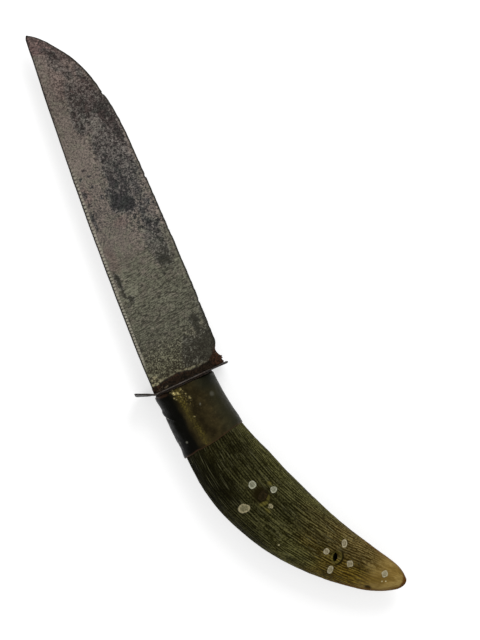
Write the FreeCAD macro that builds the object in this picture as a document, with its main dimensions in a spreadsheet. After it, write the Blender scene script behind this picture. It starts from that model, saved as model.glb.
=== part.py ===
import FreeCAD, Part
import Sketcher
import math
import os
from FreeCAD import Placement, Rotation, Vector

# Knife with a blade made from a file, an iron guard, a brass ferrule and a curved horn grip.
# +X points along the blade to its point, +Y to the back of the knife, +Z out of one side.
# The origin is the middle of the guard's front face. The grip's centreline leaves the guard
# backwards, first along a gentle collar arc and then along a tighter arc that bends to -Y.

doc = FreeCAD.newDocument("HornKnife")
sheet = doc.addObject("Spreadsheet::Sheet", "Dims")
sheetRows = 0


def heading(text):
    global sheetRows
    sheetRows += 1
    sheet.set("A%d" % sheetRows, text)


def dimension(alias, value, note):
    global sheetRows
    sheetRows += 1
    sheet.set("A%d" % sheetRows, note)
    sheet.set("B%d" % sheetRows, str(value))
    sheet.setAlias("B%d" % sheetRows, alias)


heading("Blade")
dimension("bladeLength", 151.3, "guard's front face to the point")
dimension("spineRoot", 14.0, "height of the back at the guard")
dimension("spineMiddle", 9.1, "height of the back at the middle of the blade")
dimension("spinePoint", 1.2, "height of the back at the point")
dimension("edgeRoot", -16.6, "height of the edge at the guard")
dimension("edgeChoil", -15.8, "height of the edge in the worn choil")
dimension("edgeHeel", -17.1, "height of the edge in front of the choil")
dimension("edgeQuarter", -18.4, "height of the edge a quarter of the way along")
dimension("edgeMiddle", -19.3, "height of the edge at the middle of the blade")
dimension("edgeBelly", -17.4, "height of the edge where the belly starts to rise")
dimension("edgeSweep", -12.2, "height of the edge on the rising belly")
dimension("edgeTip", -5.2, "height of the edge close behind the point")
dimension("edgePoint", -0.2, "height of the edge at the point")
dimension("spineThickness", 3.0, "blade and tang thickness at the guard")
dimension("pointThickness", 1.3, "thickness of the back at the point")
dimension("edgeThickness", 0.35, "flat left along the cutting edge")

heading("Tang")
dimension("tangReach", 67.4, "guard's front face to the tang's end, along the grip")
dimension("tangOffset", -0.8, "tang's middle off the grip's centreline")
dimension("tangFrontWidth", 12.0, "tang width at the shoulders")
dimension("tangEndWidth", 5.2, "tang width at its end")

heading("Guard and packing washer")
dimension("guardThickness", 0.8, "iron plate")
dimension("guardEdgeEnd", -18.1, "height of the guard's end on the edge side")
dimension("guardSpineEnd", 21.3, "height of the bent end on the back side")
dimension("guardHalfDepth", 10.4, "half the guard's size across the blade")
dimension("guardCorner", 6.5, "radius of the guard's rounded corners")
dimension("quillonAngle", 22.5, "bend of the back end towards the point, in degrees")
dimension("bendGap", 0.2, "from the shoulder seat to the start of the bend")
dimension("seatDepth", 0.25, "depth of the seat let in for the blade's shoulders")
dimension("seatClearance", 0.1, "seat round the blade's root")
dimension("slotClearance", 0.15, "guard and washer slots round the tang")
dimension("washerThickness", 0.6, "packing washer behind the guard")
dimension("washerInset", 0.3, "washer's edge inside the ferrule's")

heading("Grip centreline")
dimension("gripOffset", 1.3, "height of the centreline at the guard")
dimension("collarReach", 20.0, "length of the gentle collar arc")
dimension("collarBend", 250.0, "radius of the collar arc")
dimension("gripBend", 127.0, "radius of the arc that the grip follows")

heading("Ferrule")
dimension("ferruleLength", 25.0, "ferrule along the centreline")
dimension("ferruleWall", 0.8, "brass wall")
dimension("ferruleFrontWidth", 12.35, "half width at the guard")
dimension("ferruleRearWidth", 13.4, "half width at the horn's shoulder")
dimension("ferruleFrontDepth", 9.3, "half depth at the guard")
dimension("ferruleRearDepth", 9.8, "half depth at the horn's shoulder")
dimension("ferruleProud", 0.4, "step from the ferrule down to the horn")
dimension("noseClearance", 0.08, "horn's nose inside the ferrule")

heading("Horn grip")
dimension("hornLength", 98.0, "horn behind the ferrule, along the centreline")
dimension("bellyPlace", 25.0, "ferrule to the thickest place")
dimension("bellyWidth", 15.4, "half width at the thickest place")
dimension("bellyDepth", 10.3, "half depth at the thickest place")
dimension("swellPower", 1.6, "how the horn swells behind the ferrule")
dimension("taperPower", 1.7, "how the width tapers to the butt")
dimension("buttPower", 0.56, "how round the butt is")
dimension("cementGap", 0.6, "hollow round the tang, filled with cement")
dimension("cementClearance", 0.05, "cement's surfaces off the horn and the tang")

heading("Pins and holes through the grip")
dimension("pinProud", 0.08, "pin ends above the horn")
dimension("pinClearance", 0.02, "holes round the pins")
dimension("rivetRadius", 1.5, "cross rivet through the tang")
dimension("thongRadius", 1.1, "thong hole")
dimension("thongMouthRadius", 2.7, "rim of the dished mouth of the thong hole")
dimension("thongDishDepth", 0.7, "depth of the dished mouth on each side")

# Pins and rivet: distance from the ferrule's end (front group) or from the butt (rear ones),
# height over the centreline, and radius.
pins = [
    ("front_pin_fore", "front", 23.8, -1.4, 1.7),
    ("front_pin_edge", "front", 31.3, -6.2, 1.4),
    ("front_pin_back", "front", 28.4, 7.7, 2.2),
    ("front_pin_aft", "front", 35.0, -0.6, 1.0),
    ("rear_pin_fore", "rear", 34.3, 0.9, 1.35),
    ("rear_pin_edge", "rear", 29.4, -5.3, 1.5),
    ("rear_pin_back", "rear", 29.6, 6.6, 1.5),
    ("rear_pin_aft", "rear", 23.7, 1.0, 1.4),
    ("butt_pin", "rear", 9.0, -0.5, 1.5),
]


def wordAlias(node, size):
    words = node.split("_")
    return words[0] + "".join(word.capitalize() for word in words[1:]) + size


for node, group, distance, height, radius in pins:
    dimension(wordAlias(node, "Along"), distance, node + " along the grip")
    dimension(wordAlias(node, "Height"), height, node + " over the centreline")
    dimension(wordAlias(node, "Radius"), radius, node + " radius")
dimension("rivetAlong", 30.1, "cross rivet behind the ferrule")
dimension("rivetHeight", -1.3, "cross rivet over the centreline")
dimension("thongAlong", 30.3, "thong hole in front of the butt")
dimension("thongHeight", 1.2, "thong hole over the centreline")
doc.recompute()


# --- expressions shared by the pieces -------------------------------------------------------

def bind(text):
    # Puts the sheet's name in front of each alias that is written as [alias].
    return text.replace("[", "Dims.").replace("]", "")


def value(text):
    # Turns an expression into the number that it has now.
    result = sheet.evalExpression(bind(text))
    return getattr(result, "Value", result)


frontStack = "([guardThickness] + [washerThickness])"
ferruleEnd = "(%s + [ferruleLength])" % frontStack
gripEnd = "(%s + [hornLength])" % ferruleEnd
tangHalfThickness = "([spineThickness] / 2)"


def alongGrip(reach, height="0"):
    # Place on the grip: distance from the guard's front face along the centreline, and height
    # over it. Gives X, Y and the turn in degrees as expressions.
    onCollar = "max(min(%s - %s; [collarReach]); 0)" % (reach, frontStack)
    onGrip = "max(%s - %s - [collarReach]; 0)" % (reach, frontStack)
    collarTurn = "(%s / [collarBend] * 180 / pi)" % onCollar
    turn = "(%s + %s / [gripBend] * 180 / pi)" % (collarTurn, onGrip)
    straight = "min(%s; %s)" % (reach, frontStack)
    x = "-(%s) - [collarBend] * sin(%s) - [gripBend] * (sin(%s) - sin(%s)) - (%s) * sin(%s)" % (
        straight, collarTurn, turn, collarTurn, height, turn)
    y = ("[gripOffset] - [collarBend] * (1 - cos(%s)) - [gripBend] * (cos(%s) - cos(%s))"
         " + (%s) * cos(%s)") % (collarTurn, collarTurn, turn, height, turn)
    return x, y, turn


def pinPlace(group, along, height):
    if group == "front":
        reach = "(%s + %s)" % (ferruleEnd, along)
    else:
        reach = "(%s - %s)" % (gripEnd, along)
    x, y, turn = alongGrip(reach, height)
    return x, y


def tangHalfWidth(reach):
    # The tang tapers evenly from the shoulders to its end.
    return ("(([tangFrontWidth] + ([tangEndWidth] - [tangFrontWidth]) * (%s) / [tangReach]) / 2)"
            % reach)


# --- sketch and feature helpers -------------------------------------------------------------

def newBody(label):
    body = doc.addObject("PartDesign::Body", label)
    body.Label = label
    return body


def newSketch(body, name, role):
    sketch = body.newObject("Sketcher::SketchObject", name)
    for plane in body.Origin.OriginFeatures:
        if plane.Role == role:
            sketch.AttachmentSupport = [(plane, "")]
    sketch.MapMode = "FlatFace"
    return sketch


def crossSketch(body, name, x, y="0", turn="0"):
    # A sketch square to the grip or blade: its own X is the height, its own Y is the depth.
    sketch = newSketch(body, name, "YZ_Plane")
    sketch.AttachmentOffset = Placement(Vector(0, 0, 0), Rotation(Vector(0, 1, 0), 1))
    sketch.setExpression("AttachmentOffset.Base.x", bind(y))
    sketch.setExpression("AttachmentOffset.Base.z", bind(x))
    sketch.setExpression("AttachmentOffset.Rotation.Angle", bind(turn))
    return sketch


def bindConstraint(sketch, kind, parts, text):
    index = sketch.addConstraint(Sketcher.Constraint(kind, *parts, value(text)))
    sketch.setExpression("Constraints[%d]" % index, bind(text))


def addPolygon(sketch, corners):
    # Closed outline whose every corner is bound to its two expressions.
    points = [Vector(value(x), value(y), 0) for x, y in corners]
    first = None
    for here, there in zip(points, points[1:] + points[:1]):
        line = sketch.addGeometry(Part.LineSegment(here, there), False)
        first = line if first is None else first
    for step in range(len(points)):
        nextLine = first + (step + 1) % len(points)
        sketch.addConstraint(Sketcher.Constraint("Coincident", first + step, 2, nextLine, 1))
    for step, (x, y) in enumerate(corners):
        bindConstraint(sketch, "DistanceX", (-1, 1, first + step, 1), x)
        bindConstraint(sketch, "DistanceY", (-1, 1, first + step, 1), y)


def addBox(sketch, low, high, halfDepth):
    # Rectangle between two heights, as deep on both sides of the middle plane.
    depth = "(%s)" % halfDepth
    addPolygon(sketch, [(low, "-" + depth), (high, "-" + depth), (high, depth), (low, depth)])


def addRoundedBox(sketch, low, high, halfDepth, radius):
    # The same rectangle with round corners: four arcs joined by four lines.
    span = value(radius)
    corners = [(high, "-", halfDepth, 270), (high, "", halfDepth, 0),
               (low, "", halfDepth, 90), (low, "-", halfDepth, 180)]
    arcs = []
    for edge, side, depth, start in corners:
        inward = "-" if edge == high else "+"
        x = "(%s) %s %s" % (edge, inward, radius)
        y = "%s(%s - %s)" % (side, depth, radius)
        circle = Part.Circle(Vector(value(x), value(y), 0), Vector(0, 0, 1), span)
        turn = math.radians(start)
        arc = sketch.addGeometry(Part.ArcOfCircle(circle, turn, turn + math.pi / 2), False)
        bindConstraint(sketch, "DistanceX", (-1, 1, arc, 3), x)
        bindConstraint(sketch, "DistanceY", (-1, 1, arc, 3), y)
        bindConstraint(sketch, "Radius", (arc,), radius)
        level = ("Vertical", "Horizontal") if start in (90, 270) else ("Horizontal", "Vertical")
        for point, kind in zip((1, 2), level):
            sketch.addConstraint(Sketcher.Constraint(kind, arc, point, arc, 3))
        arcs.append(arc)
    for here, there in zip(arcs, arcs[1:] + arcs[:1]):
        start = sketch.getPoint(here, 2)
        end = sketch.getPoint(there, 1)
        line = sketch.addGeometry(Part.LineSegment(start, end), False)
        sketch.addConstraint(Sketcher.Constraint("Coincident", here, 2, line, 1))
        sketch.addConstraint(Sketcher.Constraint("Coincident", line, 2, there, 1))


def addEllipse(sketch, halfWidth, halfDepth, centre="0"):
    # The long axis lies along the sketch's own X.
    middle = Vector(value(centre), 0, 0)
    rim = middle + Vector(value(halfWidth), 0, 0)
    top = middle + Vector(0, value(halfDepth), 0)
    ellipse = sketch.addGeometry(Part.Ellipse(rim, top, middle), False)
    sketch.exposeInternalGeometry(ellipse)
    sketch.addConstraint(Sketcher.Constraint("Horizontal", ellipse + 1))
    sketch.addConstraint(Sketcher.Constraint("PointOnObject", ellipse, 3, -1))
    bindConstraint(sketch, "DistanceX", (-1, 1, ellipse, 3), centre)
    bindConstraint(sketch, "Distance", (ellipse + 1,), "2 * (%s)" % halfWidth)
    bindConstraint(sketch, "Distance", (ellipse + 2,), "2 * (%s)" % halfDepth)


def addCircle(sketch, x, y, radius):
    circle = sketch.addGeometry(Part.Circle(Vector(value(x), value(y), 0), Vector(0, 0, 1),
                                            value(radius)), False)
    bindConstraint(sketch, "DistanceX", (-1, 1, circle, 3), x)
    bindConstraint(sketch, "DistanceY", (-1, 1, circle, 3), y)
    bindConstraint(sketch, "Radius", (circle,), radius)


def loft(body, kind, name, sketches):
    feature = body.newObject("PartDesign::" + kind, name)
    feature.Profile = sketches[0]
    feature.Sections = sketches[1:]
    feature.Ruled = False
    feature.Closed = False
    doc.recompute()
    return feature


def pad(body, sketch, name, length):
    feature = body.newObject("PartDesign::Pad", name)
    feature.Profile = sketch
    feature.setExpression("Length", bind(length))
    feature.Midplane = True
    doc.recompute()
    return feature


def pocket(body, sketch, name, length, bothWays=True):
    before = body.Shape.Volume
    feature = body.newObject("PartDesign::Pocket", name)
    feature.Profile = sketch
    feature.setExpression("Length", bind(length))
    feature.Midplane = bothWays
    doc.recompute()
    if body.Shape.Volume >= before - 1e-6:
        raise RuntimeError("pocket %s cut nothing" % name)
    return feature


def tangLoft(body, kind, name, reaches, gap):
    # A stick with the tang's taper and curve, wider than the tang by gap on every side.
    sketches = []
    for number, reach in enumerate(reaches):
        x, y, turn = alongGrip(reach, "[tangOffset]")
        sketch = crossSketch(body, "%sSection%d" % (name, number), x, y, turn)
        half = "(%s + %s)" % (tangHalfWidth(reach), gap)
        addBox(sketch, "-" + half, half, "%s + %s" % (tangHalfThickness, gap))
        sketches.append(sketch)
    return loft(body, kind, name, sketches)


def drill(body, name, holes, gap):
    # Round holes right through the grip's depth, one for each named pin.
    sketch = newSketch(body, name + "Sketch", "XY_Plane")
    for x, y, radius in holes:
        addCircle(sketch, x, y, "%s + %s" % (radius, gap))
    pocket(body, sketch, name, "3 * [bellyDepth]")


pinHoles = {}
for node, group, distance, height, radius in pins:
    along = "[%s]" % wordAlias(node, "Along")
    x, y = pinPlace(group, along, "[%s]" % wordAlias(node, "Height"))
    pinHoles[node] = (x, y, "[%s]" % wordAlias(node, "Radius"))
rivetX, rivetY = pinPlace("front", "[rivetAlong]", "[rivetHeight]")
pinHoles["tang_rivet"] = (rivetX, rivetY, "[rivetRadius]")
tangHoles = [pinHoles[node] for node in ("front_pin_fore", "tang_rivet", "front_pin_aft")]
tangReaches = ["[seatDepth]", "[tangReach] / 3", "[tangReach] * 2 / 3", "[tangReach]"]


# --- blade: wedge-section blade with its stick tang -----------------------------------------

blade = newBody("blade")
bladeStations = [
    ("Root", "-[seatDepth]", "[spineRoot]", "[edgeRoot]"),
    ("Choil", "0.033 * [bladeLength]", None, "[edgeChoil]"),
    ("Heel", "0.075 * [bladeLength]", None, "[edgeHeel]"),
    ("Quarter", "0.25 * [bladeLength]", None, "[edgeQuarter]"),
    ("Middle", "0.5 * [bladeLength]", "[spineMiddle]", "[edgeMiddle]"),
    ("Front", "0.7 * [bladeLength]", None, "[edgeMiddle]"),
    ("Belly", "0.805 * [bladeLength]", None, "[edgeBelly]"),
    ("Sweep", "0.902 * [bladeLength]", None, "[edgeSweep]"),
    ("Tip", "0.967 * [bladeLength]", None, "[edgeTip]"),
    ("Point", "[bladeLength]", "[spinePoint]", "[edgePoint]"),
]


def spineHeight(share):
    # The back is a shallow parabola through its root, middle and point.
    bulge = "([spineMiddle] - ([spineRoot] + [spinePoint]) / 2)"
    return ("([spineRoot] + ([spinePoint] - [spineRoot]) * %s + 4 * %s * %s * (1 - %s))"
            % (share, bulge, share, share))


bladeSketches = []
for name, x, spine, edge in bladeStations:
    share = "((%s) / [bladeLength])" % x
    back = "([spineThickness] + ([pointThickness] - [spineThickness]) * %s) / 2" % share
    top = spine if spine else spineHeight(share)
    sketch = crossSketch(blade, "Blade" + name, x)
    thin = "[edgeThickness] / 2"
    addPolygon(sketch, [(edge, "-" + thin), (top, "-(%s)" % back), (top, back), (edge, thin)])
    bladeSketches.append(sketch)
loft(blade, "AdditiveLoft", "BladeWedge", bladeSketches)
tangLoft(blade, "AdditiveLoft", "Tang", tangReaches, "0")
drill(blade, "TangHoles", tangHoles, "[pinClearance]")


# --- guard: thin plate with a seat for the shoulders and one end bent forward ---------------

guard = newBody("guard")
bendStart = "([spineRoot] + [seatClearance] + [bendGap])"
quillonRise = "([guardSpineEnd] - %s)" % bendStart
behind = "-[guardThickness]"
bendBehind = "(%s + [guardThickness] * tan([quillonAngle] / 2))" % bendStart
profile = newSketch(guard, "GuardProfile", "XY_Plane")
addPolygon(profile, [
    ("0", "[guardEdgeEnd]"),
    ("0", bendStart),
    ("%s * tan([quillonAngle])" % quillonRise, "[guardSpineEnd]"),
    ("%s * tan([quillonAngle]) - [guardThickness] * cos([quillonAngle])" % quillonRise,
     "[guardSpineEnd] + [guardThickness] * sin([quillonAngle])"),
    (behind, bendBehind),
    (behind, "[guardEdgeEnd]"),
])
pad(guard, profile, "GuardPlate", "2 * [guardHalfDepth]")
around = crossSketch(guard, "GuardOutline", "0")
guardTop = "([guardSpineEnd] + [guardThickness] * sin([quillonAngle]))"
addBox(around, "[guardEdgeEnd] - [guardCorner]", "%s + [guardCorner]" % guardTop,
       "[guardHalfDepth] + [guardCorner]")
addRoundedBox(around, "[guardEdgeEnd]", guardTop, "[guardHalfDepth]", "[guardCorner]")
pocket(guard, around, "GuardTrim", "4 * (%s)" % quillonRise)
seat = crossSketch(guard, "SeatOutline", "0")
addBox(seat, "[edgeRoot] - [seatClearance]", "[spineRoot] + [seatClearance]",
       "%s + [seatClearance]" % tangHalfThickness)
pocket(guard, seat, "ShoulderSeat", "[seatDepth]", bothWays=False)
slotLow = "[gripOffset] + [tangOffset] - [tangFrontWidth] / 2 - [slotClearance]"
slotHigh = "[gripOffset] + [tangOffset] + [tangFrontWidth] / 2 + [slotClearance]"
slot = crossSketch(guard, "SlotOutline", "0")
addBox(slot, slotLow, slotHigh, "%s + [slotClearance]" % tangHalfThickness)
pocket(guard, slot, "TangSlot", "2 * [guardThickness]", bothWays=False)


# --- packing washer: thin layer between the guard and the ferrule ---------------------------

washer = newBody("packing_washer")
washerSketch = crossSketch(washer, "WasherOutline", "-([guardThickness] + [washerThickness] / 2)")
addEllipse(washerSketch, "[ferruleFrontWidth] - [washerInset]",
           "[ferruleFrontDepth] - [washerInset]", "[gripOffset]")
pad(washer, washerSketch, "WasherPlate", "[washerThickness]")
washerSlot = crossSketch(washer, "WasherSlot", "-[guardThickness]")
addBox(washerSlot, slotLow, slotHigh, "%s + [slotClearance]" % tangHalfThickness)
pocket(washer, washerSlot, "WasherSlotCut", "3 * [washerThickness]")


# --- ferrule: oval brass tube over the horn's nose ------------------------------------------

collarShares = ["0", "1 / 3", "2 / 3", "1"]


def collarLoft(body, kind, name, inset):
    # Oval along the collar, smaller than the ferrule's outside by inset.
    sketches = []
    for number, share in enumerate(collarShares):
        x, y, turn = alongGrip("(%s + (%s) * [ferruleLength])" % (frontStack, share))
        sketch = crossSketch(body, "%sSection%d" % (name, number), x, y, turn)
        width = "[ferruleFrontWidth] + ([ferruleRearWidth] - [ferruleFrontWidth]) * %s" % share
        depth = "[ferruleFrontDepth] + ([ferruleRearDepth] - [ferruleFrontDepth]) * %s" % share
        addEllipse(sketch, "(%s - %s)" % (width, inset), "(%s - %s)" % (depth, inset))
        sketches.append(sketch)
    return loft(body, kind, name, sketches)


ferrule = newBody("ferrule")
collarLoft(ferrule, "AdditiveLoft", "FerruleOutside", "0")
collarLoft(ferrule, "SubtractiveLoft", "FerruleInside", "[ferruleWall]")


# --- horn grip: nose, swelling grip, hollow for the tang, pin holes and thong hole ----------

gripShares = ["0", "0.12", "0.255", "0.4", "0.55", "0.7", "0.82", "0.9", "0.95", "0.98", "0.995"]


def hornSizes(share):
    # Half width and half depth of the horn at a share of its length behind the ferrule.
    stepWidth = "([ferruleRearWidth] - [ferruleProud])"
    stepDepth = "([ferruleRearDepth] - [ferruleProud])"
    swell = "max(1 - %s * [hornLength] / [bellyPlace]; 0) ^ [swellPower]" % share
    past = "max((%s * [hornLength] - [bellyPlace]) / ([hornLength] - [bellyPlace]); 0)" % share
    width = ("([bellyWidth] * (1 - %s ^ [taperPower]) ^ [buttPower]"
             " - ([bellyWidth] - %s) * %s)") % (past, stepWidth, swell)
    depth = "([bellyDepth] * (1 - %s ^ 2) ^ 0.5 - ([bellyDepth] - %s) * %s)" % (
        past, stepDepth, swell)
    return width, depth


def gripLoft(body, name, extra):
    sketches = []
    for number, share in enumerate(gripShares):
        x, y, turn = alongGrip("(%s + %s * [hornLength])" % (ferruleEnd, share))
        sketch = crossSketch(body, "%sSection%d" % (name, number), x, y, turn)
        width, depth = hornSizes(share)
        addEllipse(sketch, "%s + %s" % (width, extra), "%s + %s" % (depth, extra))
        sketches.append(sketch)
    return loft(body, "AdditiveLoft", name, sketches)


horn = newBody("horn_grip")
gripLoft(horn, "Grip", "0")
collarLoft(horn, "AdditiveLoft", "Nose", "([ferruleWall] + [noseClearance])")
hollowReaches = ["%s - 0.5" % frontStack] + tangReaches[1:3] + ["[tangReach] + [cementGap]"]
tangLoft(horn, "SubtractiveLoft", "TangHollow", hollowReaches, "[cementGap]")
drill(horn, "PinHoles", list(pinHoles.values()), "[pinClearance]")

thongX, thongY = pinPlace("rear", "[thongAlong]", "[thongHeight]")
thongSketch = newSketch(horn, "ThongProfile", "XZ_Plane")
thongSketch.setExpression("AttachmentOffset.Base.x", bind(thongX))
thongSketch.setExpression("AttachmentOffset.Base.z", bind("-(%s)" % thongY))
hornWidthThere, hornDepthThere = hornSizes("(1 - [thongAlong] / [hornLength])")
boreHalf = "(%s - [thongDishDepth])" % hornDepthThere
dishTop = "(%s + 2 * [thongDishDepth])" % boreHalf
dishRim = "(2 * [thongMouthRadius] - [thongRadius])"
addPolygon(thongSketch, [
    ("0", "-%s" % dishTop),
    (dishRim, "-%s" % dishTop),
    ("[thongRadius]", "-%s" % boreHalf),
    ("[thongRadius]", boreHalf),
    (dishRim, dishTop),
    ("0", dishTop),
])
before = horn.Shape.Volume
thongHole = horn.newObject("PartDesign::Groove", "ThongHole")
thongHole.Profile = thongSketch
thongHole.ReferenceAxis = (thongSketch, ["V_Axis"])
thongHole.Angle = 360
doc.recompute()
if horn.Shape.Volume >= before - 1e-6:
    raise RuntimeError("the thong hole cut nothing")


# --- cement: fills the hollow between the tang and the horn ---------------------------------

cement = newBody("tang_cement")
cementEnd = "[tangReach] + [cementGap] - [cementClearance]"
tangLoft(cement, "AdditiveLoft", "CementFill", [frontStack] + tangReaches[1:3] + [cementEnd],
         "([cementGap] - [cementClearance])")
boreReaches = ["%s - 0.5" % frontStack] + tangReaches[1:3] + ["[tangReach] + [cementClearance]"]
tangLoft(cement, "SubtractiveLoft", "TangBore", boreReaches, "[cementClearance]")
drill(cement, "CementHoles", tangHoles, "[pinClearance]")


# --- pins and rivet: round bars filed down to just over the horn's surface ------------------

filedSurface = newBody("filed_surface")
gripLoft(filedSurface, "Filed", "[pinProud]")
pinNodes = []
for node, (x, y, radius) in pinHoles.items():
    bar = doc.addObject("Part::Cylinder", "Bar_" + node)
    bar.setExpression("Radius", bind(radius))
    bar.setExpression("Height", bind("3 * [bellyDepth]"))
    bar.setExpression("Placement.Base.x", bind(x))
    bar.setExpression("Placement.Base.y", bind(y))
    bar.setExpression("Placement.Base.z", bind("-1.5 * [bellyDepth]"))
    pin = doc.addObject("Part::Common", node)
    pin.Label = node
    pin.Base = bar
    pin.Tool = filedSurface
    pinNodes.append(pin)
doc.recompute()


# --- checks and files -----------------------------------------------------------------------

subParts = [blade, guard, washer, ferrule, horn, cement] + pinNodes
for thing in doc.Objects:
    if "Invalid" in thing.State or "Error" in thing.State:
        raise RuntimeError("%s failed: %s" % (thing.Name, thing.State))
os.makedirs("parts", exist_ok=True)
for piece in subParts:
    shape = piece.Shape
    if shape.isNull() or not shape.isValid() or len(shape.Solids) != 1:
        raise RuntimeError("%s is not one valid solid" % piece.Label)
    shape.exportStep("parts/%s.step" % piece.Label)
    box = shape.optimalBoundingBox(False)
    print("%-16s %9.1f mm3  X %7.2f %7.2f  Y %7.2f %7.2f  Z %7.2f %7.2f" % (
        piece.Label, shape.Volume, box.XMin, box.XMax, box.YMin, box.YMax, box.ZMin, box.ZMax))
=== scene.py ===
import itertools
import math
import bmesh
import bpy
import numpy as np
from mathutils import Matrix, Vector


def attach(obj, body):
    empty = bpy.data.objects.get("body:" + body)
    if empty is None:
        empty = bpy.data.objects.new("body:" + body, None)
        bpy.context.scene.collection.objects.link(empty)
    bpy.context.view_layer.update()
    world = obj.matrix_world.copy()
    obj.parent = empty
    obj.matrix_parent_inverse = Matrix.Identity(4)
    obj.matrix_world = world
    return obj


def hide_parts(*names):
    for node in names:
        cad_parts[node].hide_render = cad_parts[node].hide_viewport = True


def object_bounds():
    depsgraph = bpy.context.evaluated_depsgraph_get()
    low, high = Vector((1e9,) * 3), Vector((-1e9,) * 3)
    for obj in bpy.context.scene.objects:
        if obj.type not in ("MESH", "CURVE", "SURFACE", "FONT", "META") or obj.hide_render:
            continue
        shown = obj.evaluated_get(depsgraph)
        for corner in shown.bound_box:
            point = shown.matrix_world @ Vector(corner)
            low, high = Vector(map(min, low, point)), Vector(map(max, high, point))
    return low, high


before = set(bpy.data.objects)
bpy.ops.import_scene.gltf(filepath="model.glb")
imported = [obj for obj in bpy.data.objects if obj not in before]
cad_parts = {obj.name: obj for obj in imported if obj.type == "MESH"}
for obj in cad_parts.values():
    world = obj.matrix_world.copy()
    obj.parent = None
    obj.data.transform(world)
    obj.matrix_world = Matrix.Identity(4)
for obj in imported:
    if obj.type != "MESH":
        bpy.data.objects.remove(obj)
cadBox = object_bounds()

# Old knife with a blade made from a file, an iron guard, a brass ferrule and a horn grip.
# Lengths are in millimetres until a mesh is made. X runs to the point, Y to the back.
# On the grip, u is the distance from the guard along its centreline and v the height over that line.
mm = 0.001


def fade(low, high, value):
    # 0 before low and 1 past high, with a soft change between them; high may be the smaller number
    share = np.clip((np.asarray(value, float) - low) / (high - low), 0, 1)
    return share * share * (3 - 2 * share)


def smoothCurve(points, at):
    # soft line through given points, level beyond its ends
    px, py = np.array(points, float).T
    step = np.diff(px)
    rise = np.diff(py) / step
    slope = np.empty_like(py)
    slope[0], slope[-1] = rise[0], rise[-1]
    slope[1:-1] = (rise[:-1] * step[1:] + rise[1:] * step[:-1]) / (step[:-1] + step[1:])
    at = np.clip(np.asarray(at, float), px[0], px[-1])
    cell = np.clip(np.searchsorted(px, at, side="right") - 1, 0, len(px) - 2)
    t = (at - px[cell]) / step[cell]
    return ((2 * t ** 3 - 3 * t ** 2 + 1) * py[cell] + (t ** 3 - 2 * t ** 2 + t) * step[cell] * slope[cell]
            + (3 * t ** 2 - 2 * t ** 3) * py[cell + 1] + (t ** 3 - t ** 2) * step[cell] * slope[cell + 1])


def grainNoise(x, y, z, seed):
    # seeded value noise from 0 to 1, one lump per unit of length
    place = [np.asarray(a, float) + seed * 7.31 for a in np.broadcast_arrays(x, y, z)]
    cells = [np.floor(a).astype(np.int64) for a in place]
    parts = [a - c for a, c in zip(place, cells)]
    parts = [p * p * (3 - 2 * p) for p in parts]
    total = 0
    for corner in itertools.product((0, 1), repeat=3):
        key = (cells[0] + corner[0]) * 374761393 + (cells[1] + corner[1]) * 668265263
        key = (key + (cells[2] + corner[2]) * 1440662683 + seed * 974634777) & 0xFFFFFFFF
        key = ((key ^ (key >> 13)) * 1274126177) & 0xFFFFFFFF
        key = (key ^ (key >> 16)) & 0xFFFF
        weight = 1
        for side, part in zip(corner, parts):
            weight = weight * (part if side else 1 - part)
        total = total + weight * key / 65535
    return total


def uneven(x, y, z, size, seed, layers=3):
    # layers of noise, each half the size and half the strength, from about -1 to 1
    total, strength, reach = 0, 1, 0
    for layer in range(layers):
        scale = 2 ** layer / size
        lump = grainNoise(*(np.asarray(a) * scale for a in (x, y, z)), seed + layer)
        total = total + (2 * lump - 1) * strength
        reach += strength
        strength *= 0.5
    return total / reach * 1.6


def blot(x, y, middle, radii, turn=0):
    # soft oval patch: 1 in its middle, 0 at its rim
    c, s = math.cos(math.radians(turn)), math.sin(math.radians(turn))
    dx, dy = x - middle[0], y - middle[1]
    far = np.hypot((dx * c + dy * s) / radii[0], (-dx * s + dy * c) / radii[1])
    return 1 - fade(0.35, 1.15, far)


def patches(x, y, rows, join=np.maximum, start=0):
    # several soft patches joined: each row has the middle, the two radii, the strength and any turn
    for atX, atY, along, across, strength, *turn in rows:
        start = join(start, strength * blot(x, y, (atX, atY), (along, across), *turn))
    return start


def evenTurns(count):
    return np.linspace(0, 2 * math.pi, count, endpoint=False)


def turned(du, dv, middle, turn):
    # an outline turned on the face and moved to its middle
    c, s = math.cos(math.radians(turn)), math.sin(math.radians(turn))
    return middle[0] + du * c - dv * s, middle[1] + du * s + dv * c


def ringFaces(rings, around, loop=False):
    # quads between rings of points; a loop closes on itself, any other tube gets a flat cap at each end
    first = np.arange(rings if loop else rings - 1)[:, None] * around
    here, after = first + np.arange(around), first + (np.arange(around) + 1) % around
    total = rings * around
    faces = np.stack([here, after, (after + around) % total, (here + around) % total], -1).reshape(-1, 4).tolist()
    if not loop:
        faces.append(list(range(around))[::-1])
        faces.append(list(range(total - around, total)))
    return faces


def makeMesh(name, points, faces, masks):
    # masks are levels at the points, which the finishes read by name
    mesh = bpy.data.meshes.new(name)
    mesh.from_pydata((np.reshape(points, (-1, 3)) * mm).tolist(), [], faces)
    mesh.validate()
    body = bmesh.new()
    body.from_mesh(mesh)
    bmesh.ops.recalc_face_normals(body, faces=body.faces)
    body.to_mesh(mesh)
    body.free()
    for maskName, values in masks.items():
        layer = mesh.attributes.new(maskName, "FLOAT", "POINT")
        layer.data.foreach_set("value", np.ravel(values).astype(np.float32))
    mesh.update()
    mesh.polygons.foreach_set("use_smooth", [True] * len(mesh.polygons))
    piece = bpy.data.objects.new(name, mesh)
    bpy.context.scene.collection.objects.link(piece)
    return piece


def makeTube(name, rings, masks, loop=False):
    return makeMesh(name, rings, ringFaces(*np.shape(rings)[:2], loop), masks)


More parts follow.
